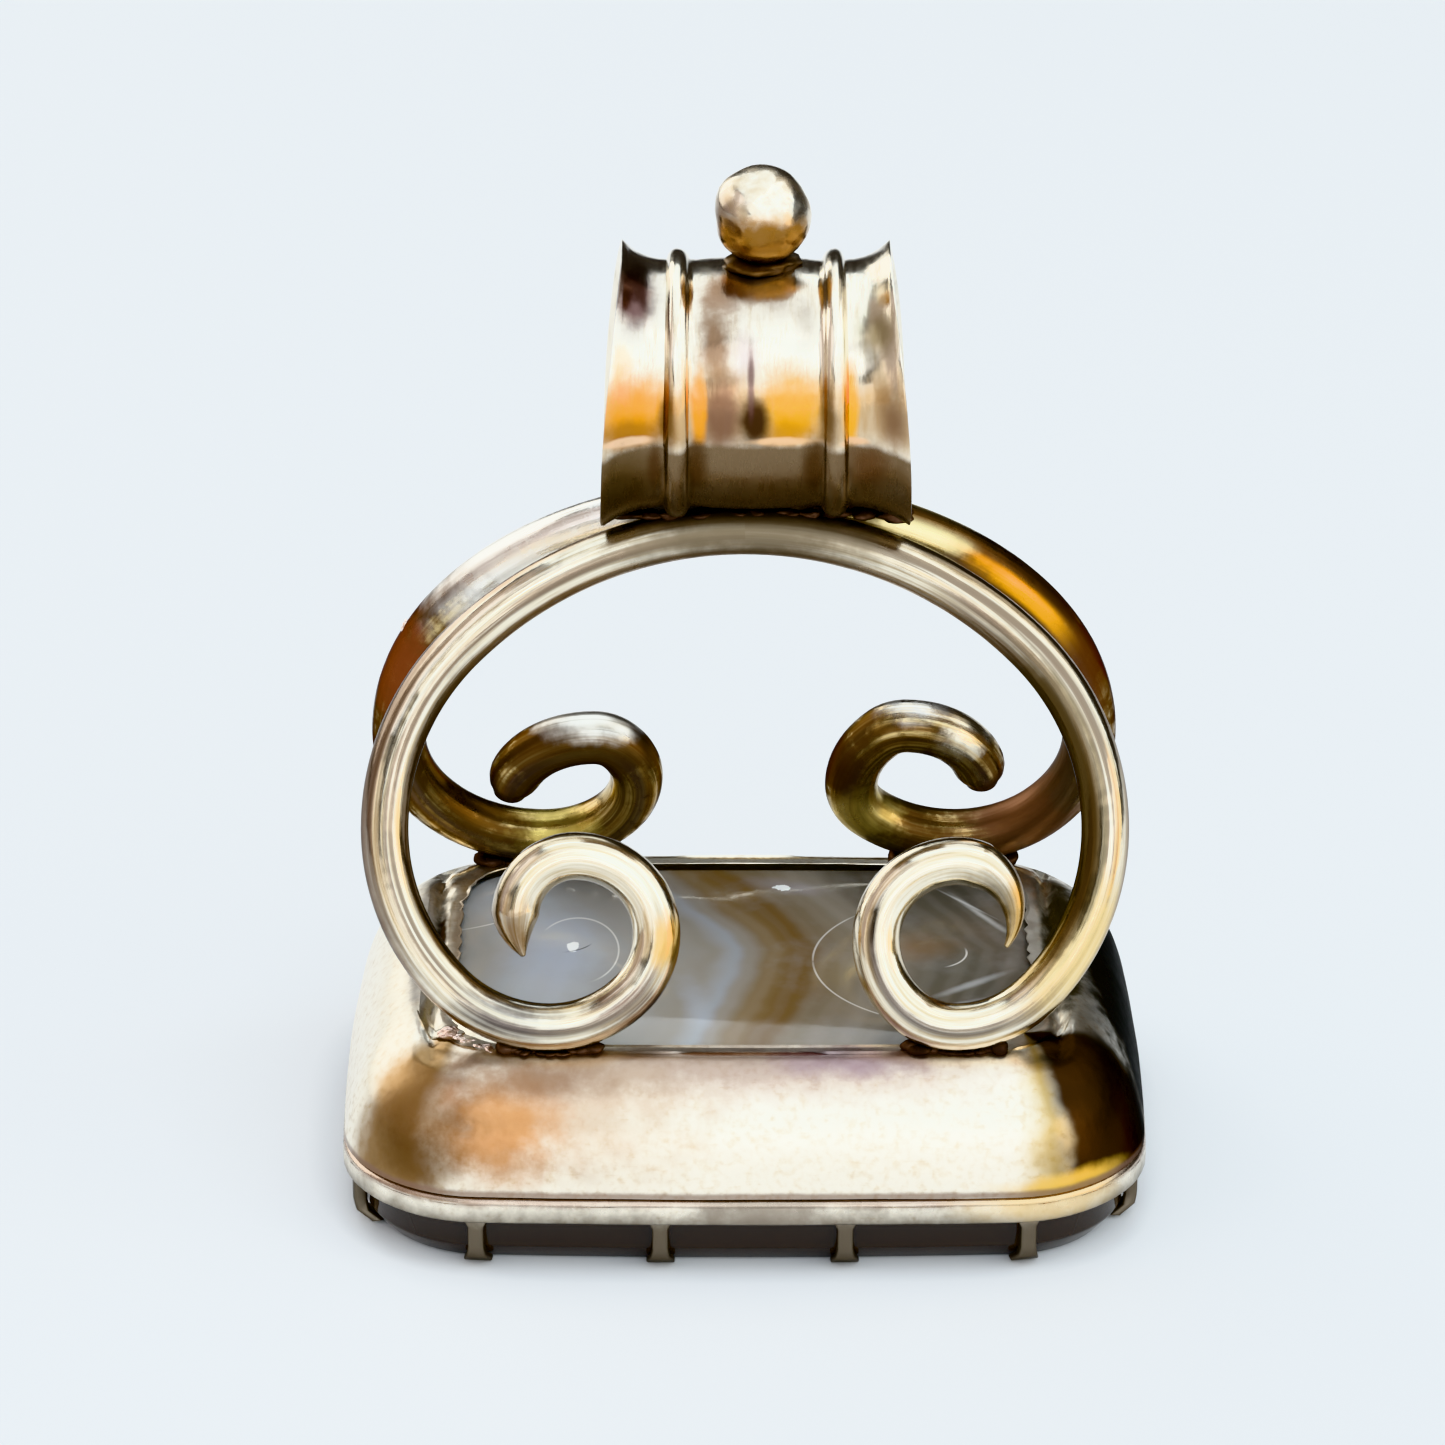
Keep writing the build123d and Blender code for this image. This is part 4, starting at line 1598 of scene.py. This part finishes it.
COLLAR_GOLD = GoldFinish(
    name="collar_gold",
    grain=Grain.SHEET,
    roughness=0.31,
    tarnish=0.12,
    mark_depth=0.0016,
    rough_spread=0.08,
    marks_range=(0.10, 0.58),
    hollow_grime_and_shade_share=0.0,
    stains_and_light=(
        StainOrLight((-0.5, -6.3, 5.2), (9.0, 1.0, 1.3), (0.37, 0.26, 0.21), 0.85, 0.6, 0.5),
        StainOrLight((2.6, -6.0, 5.3), (2.2, 0.7, 0.6), (0.28, 0.19, 0.24), 0.6, 0.5, 0.5),
        StainOrLight((-4.9, -7.0, 4.3), (4.2, 1.9, 2.0), (0.42, 0.31, 0.22), 0.85, 0.6, 0.5),
        StainOrLight((-6.3, -7.2, 3.8), (1.9, 1.5, 1.5), (0.42, 0.20, 0.075), 0.9, 0.5, 0.45),
        StainOrLight((-5.2, -6.5, 4.8), (1.8, 0.6, 0.6), (0.22, 0.12, 0.07), 0.7, 0.6, 0.5),
        # Painted dark reflection: brown over the left front corner, and darker low on the left.
        CornerStainOrLight((-7.15, -4.6, 0), -163, -108, 14, (0.30, 0.18, 0.075), 0.95),
        StainOrLight((-8.4, -6.9, 2.9), (1.6, 1.5, 0.9), (0.14, 0.075, 0.03), 0.8, 0.6, 0.4),
        # Painted dark reflection and shade: olive on the right front corner, near black round the right
        # corner.
        CornerStainOrLight((7.15, -4.6, 0), -88, -66, 12, (0.34, 0.23, 0.07), 0.9),
        CornerStainOrLight((7.15, -4.6, 0), -70, 14, 11, (0.030, 0.014, 0.006), 1.0),
        StainOrLight((8.6, -7.4, 2.4), (2.2, 1.6, 0.30), (0.85, 0.52, 0.10), 0.8, 0.5, 0.4),
        StainOrLight((0, 0, 2.24), (60, 60, 0.13), (0.24, 0.15, 0.11), 0.75, 0.5, 0.5),
        # Painted shade: the whole right side near black.
        StainOrLight((10.8, 1.5, 3.6), (3.2, 8.5, 5.0), (0.030, 0.026, 0.020), 1.0, 0.2, 0.2, dulls=0.1),
        StainOrLight((8.35, 0.5, 5.3), (0.7, 5.0, 0.6), (0.045, 0.035, 0.020), 1.0, 0.25, dulls=0.3),
        StainOrLight((7.60, 1.6, 5.3), (0.28, 4.2, 0.5), (0.50, 0.47, 0.42), 0.9, 0.35, 0.5, dulls=0.2),
        StainOrLight((-8.5, 0.4, 5.3), (0.45, 4.4, 0.5), (0.30, 0.27, 0.25), 0.9, 0.4, 0.4, dulls=0.3),
        StainOrLight((-8.02, 0.6, 5.3), (0.22, 3.6, 0.5), (0.035, 0.022, 0.015), 1.0, 0.4, 0.5, dulls=0.3),
        StainOrLight((-7.45, 1.3, 5.2), (0.40, 2.9, 0.6), (0.26, 0.19, 0.13), 0.9, 0.4, 0.4, dulls=0.3),
    ),
)
BAND_GOLD = GoldFinish(
    name="band_gold",
    grain=Grain.SHEET,
    roughness=0.26,
    tarnish=0.2,
    mark_depth=0.0016,
    rough_spread=0.08,
    marks_range=(0.05, 0.50),
    hollow_grime_and_shade_share=0.0,
    stains_and_light=(
        # Painted shade: the band's lower part and its claws darker.
        StainOrLight((0, 0, 0.7), (60, 60, 1.25), (0.17, 0.14, 0.105), 1.0, dulls=0.1),
        StainOrLight((0, 0, 2.1), (60, 60, 0.20), (0.30, 0.20, 0.15), 0.8, 0.6, 0.6),
        StainOrLight((0.5, -8.2, 1.8), (2.6, 1.0, 0.6), (0.30, 0.25, 0.20), 0.8, 0.6, 0.6),
        StainOrLight((8.0, -7.6, 1.9), (2.6, 1.6, 0.5), (0.80, 0.58, 0.28), 0.7, 0.5, 0.4),
    ),
)
FRONT_GOLD = GoldFinish(
    name="front_wire_gold",
    grain=Grain.DRAWN,
    roughness=0.15,
    tarnish=0.3,
    mark_depth=0.008,
    marks_range=(0.28, 0.68),
    curl_streaks=0.4,
    streak=(0.26, 0.18, 0.10),
    side_film_and_shade=(0.33, 0.22, 0.145),
    stains_and_light=(
        StainOrLight((7.2, -3.4, 10.5), (0.6, 3.0, 4.6), (0.14, 0.08, 0.03), 0.9, 0.4, 0.4, dulls=0.1),
        # Painted warm reflection: brighter gold low on the right.
        StainOrLight((8.3, -4.5, 7.5), (2.2, 2.0, 2.5), (1.0, 0.74, 0.32), 0.65, 0.4, 0.4),
        StainOrLight((-1.75, -5.3, 8.1), (0.7, 1.5, 0.8), (0.62, 0.38, 0.11), 0.9, 0.5, 0.4),
        # Painted shade: dark over the lower parts of the left curl.
        StainOrLight((-2.6, -5.6, 6.5), (1.5, 1.5, 0.9), (0.12, 0.07, 0.055), 0.9, 0.5, 0.5, streaky=0.5),
        StainOrLight((-6.2, -5.6, 6.4), (1.7, 1.5, 0.9), (0.11, 0.092, 0.085), 0.9, 0.5, 0.5, streaky=0.55),
        StainOrLight((-5.9, -4.6, 8.2), (0.6, 1.5, 1.1), (0.22, 0.12, 0.045), 0.95, 0.6, 0.4, streaky=0.3),
        StainOrLight((7.1, -4.6, 8.7), (0.5, 1.5, 1.1), (0.50, 0.30, 0.10), 0.8, 0.5, 0.4, streaky=0.3),
        # Firescale, and painted shade under the bail: dull dark brown on the top of the arch.
        StainOrLight((0.3, -1.1, 17.9), (4.4, 1.6, 1.7), (0.19, 0.15, 0.10), 0.95, 0.6, 0.5, dulls=0.35),
        # Painted dark reflections along the inner and outer edges of both arms.
        LongStainOrLight((8.4, -3.6, 11.4), (3.2, 4.0, 6.0), -0.08, 1.4, (0.18, 0.14, 0.085), 0.85),
        LongStainOrLight((8.4, -3.6, 11.0), (3.2, 4.0, 6.0), 0.38, 1.4, (0.06, 0.035, 0.012), 0.8),
        LongStainOrLight((8.8, -3.6, 11.0), (3.0, 4.0, 5.5), -1.4, -0.86, (0.16, 0.10, 0.05), 0.8),
        LongStainOrLight((-8.6, -3.6, 11.4), (3.2, 4.0, 6.5), -1.4, -0.50, (0.14, 0.095, 0.075), 0.75),
        LongStainOrLight((-8.4, -3.6, 11.0), (3.0, 4.0, 6.0), 0.62, 1.4, (0.10, 0.06, 0.03), 0.8),
    ),
    bright=(0.92, 0.86, 0.72),
    deep=(0.58, 0.46, 0.29),
    grime=(0.10, 0.055, 0.025),
)
# The back wire is darker than the front: more tarnish, and painted shade, as it faces down and away.
BACK_GOLD = GoldFinish(
    name="back_wire_gold",
    grain=Grain.DRAWN,
    roughness=0.20,
    tarnish=0.85,
    mark_depth=0.014,
    streak=(0.085, 0.042, 0.015),
    streak_share=0.9,
    film_edge=0.12,
    side_film_and_shade=(0.10, 0.045, 0.018),
    stains_and_light=(
        # Painted highlights: pale on the crests of both curls.
        StainOrLight((-3.8, 4.6, 10.2), (2.0, 2.0, 0.55), (0.95, 0.92, 0.84), 0.95, 0.5, 0.5, streaky=0.5),
        StainOrLight((5.0, 4.6, 10.9), (1.9, 2.0, 0.60), (0.95, 0.94, 0.90), 0.95, 0.5, 0.4, streaky=0.4),
        StainOrLight((5.9, 4.6, 10.0), (1.0, 2.0, 0.7), (0.80, 0.74, 0.60), 0.9, 0.4, 0.9, streaky=0.5),
        StainOrLight((3.2, 5.0, 7.2), (1.1, 2.0, 1.1), (0.66, 0.52, 0.20), 0.85, 0.5, 0.9, streaky=0.4),
        StainOrLight((2.5, 5.0, 8.9), (0.9, 2.0, 1.2), (0.07, 0.03, 0.015), 0.9, 0.5, 0.6, streaky=0.3),
        StainOrLight((-5.0, 5.0, 6.6), (1.2, 2.0, 0.7), (0.60, 0.47, 0.15), 0.8, 0.5, 0.9, streaky=0.5),
        StainOrLight((-7.2, 5.0, 7.6), (1.2, 2.0, 1.6), (0.11, 0.055, 0.015), 0.9, 0.5, 0.6, streaky=0.3),
        # Painted highlight: near white over the top of the left arch.
        StainOrLight((-4.5, 2.0, 17.5), (6.0, 3.5, 4.4), (0.95, 0.93, 0.88), 0.95, 0.35, 0.3, streaky=0.25),
        # Painted shade on the inside of the right arch.
        StainOrLight((6.9, 2.4, 15.3), (3.0, 2.5, 3.2), (0.10, 0.042, 0.014), 0.95, 0.4, 0.3, streaky=0.2),
        # Painted highlights along the arches, white on the left and pale yellow on the right, and a painted
        # orange reflection on the right arch.
        LongStainOrLight((-5.6, 1.5, 17.0), (3.2, 2.5, 2.4), -0.85, 0.1, (1.0, 0.97, 0.90), 0.8),
        LongStainOrLight((4.9, 1.2, 17.4), (2.0, 2.5, 1.2), -0.90, -0.45, (1.0, 0.86, 0.46), 0.95),
        LongStainOrLight((7.2, 2.4, 15.0), (2.3, 2.5, 2.6), -0.80, -0.30, (0.95, 0.42, 0.02), 0.95),
        StainOrLight((8.9, 3.2, 12.8), (1.3, 2.0, 2.6), (0.10, 0.035, 0.012), 0.95, 0.5),
        StainOrLight((-9.0, 3.0, 12.6), (1.2, 2.0, 2.4), (0.20, 0.06, 0.025), 0.95, 0.35, 0.5),
        StainOrLight((7.3, 5.0, 7.2), (1.9, 1.6, 1.9), (0.19, 0.10, 0.06), 0.95, 0.4, 0.5, dulls=0.1),
    ),
    bright=(0.62, 0.47, 0.22),
    deep=(0.24, 0.14, 0.05),
    grime=(0.055, 0.022, 0.008),
)
BAIL_GOLD = GoldFinish(
    name="bail_gold",
    grain=Grain.TURNED,
    roughness=0.20,
    tarnish=0.30,
    mark_depth=0.006,
    marks_range=(0.15, 0.55),
    stains_and_light=(
        # Painted reflections and shade on the tube's mirror-like face: plum, brown, tan and lilac over its
        # upper half.
        StainOrLight((-2.75, -1.6, 24.3), (0.8, 1.8, 1.1), (0.12, 0.075, 0.07), 1.0, 0.5, 0.3),
        StainOrLight((-0.75, -2.4, 23.3), (0.55, 1.9, 2.2), (0.20, 0.115, 0.065), 0.95, 0.6, 0.5),
        StainOrLight((-0.55, -1.2, 24.3), (0.65, 1.0, 0.75), (0.27, 0.145, 0.075), 0.9, 0.6, 0.5),
        StainOrLight((0.4, -2.0, 24.2), (1.5, 1.2, 0.5), (0.30, 0.23, 0.18), 0.75, 0.6, 0.5),
        StainOrLight((1.5, -2.4, 23.8), (0.35, 1.2, 0.7), (0.30, 0.24, 0.19), 0.7, 0.6, 0.4),
        StainOrLight((0.0, -2.6, 22.9), (0.35, 1.2, 0.8), (0.44, 0.34, 0.33), 0.7, 0.6, 0.4),
        StainOrLight((3.3, -2.5, 23.6), (0.6, 1.2, 0.8), (0.30, 0.25, 0.14), 0.9, 0.6, 0.3),
        # Painted warm reflection: a yellow and orange band across the front, with orange and dark lines
        # beside the ribs, brown breaks and a dark drop with its thin line.
        StainOrLight((0.3, -3.4, 21.7), (30, 1.7, 1.15), (0.50, 0.32, 0.15), 0.92, 0.5, 0.25, streaky=0.15),
        StainOrLight((-0.6, -3.2, 21.6), (0.65, 1.5, 1.3), (0.22, 0.12, 0.075), 0.95, 0.5, 0.3),
        StainOrLight((1.15, -3.2, 21.8), (0.85, 1.3, 1.05), (0.92, 0.42, 0.015), 1.0, 0.55, 0.4, streaky=0.1),
        StainOrLight((-2.75, -3.2, 21.8), (0.95, 1.3, 0.95), (0.90, 0.36, 0.02), 1.0, 0.55, 0.4, streaky=0.1),
        StainOrLight((-1.16, -3.2, 21.7), (0.22, 1.3, 1.1), (0.92, 0.36, 0.02), 1.0, 0.45, 0.3),
        StainOrLight((2.62, -3.2, 21.8), (0.22, 1.3, 1.2), (0.95, 0.44, 0.02), 1.0, 0.45, 0.3),
        StainOrLight((-2.9, -3.2, 21.25), (1.0, 1.3, 0.40), (0.36, 0.15, 0.02), 0.8, 0.6, 0.6),
        StainOrLight((1.0, -3.2, 21.2), (0.8, 1.3, 0.35), (0.50, 0.22, 0.02), 0.7, 0.6, 0.6),
        StainOrLight((-1.95, -3.2, 21.6), (0.25, 1.4, 0.9), (0.10, 0.05, 0.02), 0.85, 0.6, 0.4),
        StainOrLight((2.05, -3.2, 21.6), (0.25, 1.4, 0.9), (0.10, 0.05, 0.02), 0.85, 0.6, 0.4),
        StainOrLight((3.7, -3.0, 21.6), (0.45, 1.3, 0.8), (0.20, 0.11, 0.06), 0.9, 0.6, 0.3),
        StainOrLight((0.24, -3.2, 21.5), (0.45, 1.3, 0.85), (0.06, 0.03, 0.015), 1.0, 0.4, 0.3),
        StainOrLight((0.14, -3.2, 22.6), (0.12, 1.3, 1.1), (0.14, 0.08, 0.07), 0.9, 0.5, 0.2),
        # Painted highlights: peach lines along the band's lower edge.
        StainOrLight((-3.1, -3.1, 21.0), (0.9, 0.9, 0.14), (1.0, 0.66, 0.42), 1.0, 0.4, 0.6),
        StainOrLight((0.9, -3.1, 20.95), (0.9, 0.9, 0.14), (1.0, 0.62, 0.34), 1.0, 0.4, 0.6),
        StainOrLight((2.75, -3.1, 20.95), (0.4, 0.9, 0.14), (1.0, 0.62, 0.36), 0.9, 0.4, 0.6),
        # Painted shade and dark reflection over the tube's lower part and its panels.
        StainOrLight((0.3, -2.2, 19.2), (30, 2.6, 2.30), (0.20, 0.14, 0.085), 1.0, 0.05, 0.06, dulls=0.08),
        StainOrLight((-3.1, -2.6, 19.7), (0.9, 1.8, 1.3), (0.10, 0.065, 0.03), 0.75, 0.6, 0.5),
        StainOrLight((-1.25, -2.6, 20.2), (0.35, 1.6, 1.0), (0.07, 0.035, 0.016), 0.9, 0.6, 0.4),
        StainOrLight((1.72, -2.6, 20.2), (0.35, 1.6, 1.0), (0.07, 0.035, 0.016), 0.9, 0.6, 0.4),
        StainOrLight((-2.25, -2.6, 20.2), (0.2, 1.6, 1.0), (0.08, 0.04, 0.02), 0.8, 0.6, 0.4),
        StainOrLight((3.1, -2.6, 20.3), (0.7, 1.6, 0.7), (0.12, 0.06, 0.03), 0.8, 0.6, 0.5),
        StainOrLight((0.3, -1.6, 19.0), (3.4, 1.6, 0.5), (0.15, 0.10, 0.06), 0.7, 0.6, 0.9),
    ),
)
BEAD_GOLD = GoldFinish(
    name="bead_gold",
    grain=Grain.CAST,
    roughness=0.26,
    tarnish=0.3,
    mark_depth=0.012,
    stains_and_light=(
        # Painted shade: darker on the bead's left and orange-brown low on it, and a painted shadow where it
        # sits on the tube.
        StainOrLight((-0.7, -0.8, 25.9), (0.6, 0.9, 0.8), (0.17, 0.105, 0.065), 0.9, 0.5),
        StainOrLight((0.5, -1.2, 25.15), (2.4, 1.8, 1.2), (0.26, 0.115, 0.015), 0.95, 0.25, 0.3),
        StainOrLight((0.4, 0.0, 24.45), (1.6, 1.6, 0.42), (0.06, 0.035, 0.02), 1.0, dulls=0.2),
    ),
)
# Near black solder and grime; under the feet it also stands in for the shadow there, as painted shade.
DARK_SOLDER_AND_SHADE = GoldFinish(
    name="dark_solder_and_shade",
    bright=(0.11, 0.065, 0.045),
    deep=(0.04, 0.022, 0.015),
    grime=(0.02, 0.012, 0.010),
    grain=Grain.CAST,
    roughness=0.42,
    tarnish=0.7,
    mark_depth=0.05,
)
PALE_SOLDER = GoldFinish(
    name="pale_solder",
    bright=(0.92, 0.78, 0.70),
    deep=(0.70, 0.50, 0.42),
    grime=(0.30, 0.16, 0.12),
    grain=Grain.CAST,
    roughness=0.25,
    tarnish=0.2,
    mark_depth=0.05,
    hollow_grime_and_shade_share=0.0,
)
FRONT_WIRE = ScrolledWire(
    "front_wire",
    "front_scroll",
    face=-1,
    diameter=1.22,
    left=Curl(0.40, 0.543, 0.245, 0.188, 0.470, 0.345, 88, 0.167, 25, 0.262, 0.14, 1.3),
    right=Curl(0.40, 0.586, 0.364, 0.176, 0.590, 0.335, 24, 0.160, 96, 0.156, 0.12, 1.0),
)
BACK_WIRE = ScrolledWire(
    "back_wire",
    "back_scroll",
    face=1,
    diameter=1.42,
    left=Curl(0.31, 0.590, 0.313, 0.190, 0.436, 0.306, 55, 0.248, 26, 0.25, 0.7, 4.0),
    right=Curl(0.31, 0.620, 0.314, 0.163, 0.469, 0.342, 62, 0.224, 25, 0.22, 0.7, 4.0),
)


def main() -> None:
    """Builds the seal's pieces in order, dresses them and sets the studio."""
    logging.basicConfig(level=logging.INFO, format="%(message)s")
    studio = Studio()
    studio.camera()
    studio.floor()
    studio.lights()
    setting = Setting()
    setting.stone(AgateFinish().material())
    setting.band(BAND_GOLD.material())
    setting.collar(COLLAR_GOLD.material())
    FRONT_WIRE.wire(FRONT_GOLD.material())
    BACK_WIRE.wire(BACK_GOLD.material())
    bail = Bail()
    bail.tube(BAIL_GOLD.material())
    bail.top_bead(BEAD_GOLD.material())
    solder_shade = DARK_SOLDER_AND_SHADE.material()
    solder = Solder()
    solder.feet(solder_shade)
    solder.spill(PALE_SOLDER.material())
    solder.under_bail(solder_shade)


if __name__ == "__main__":
    main()
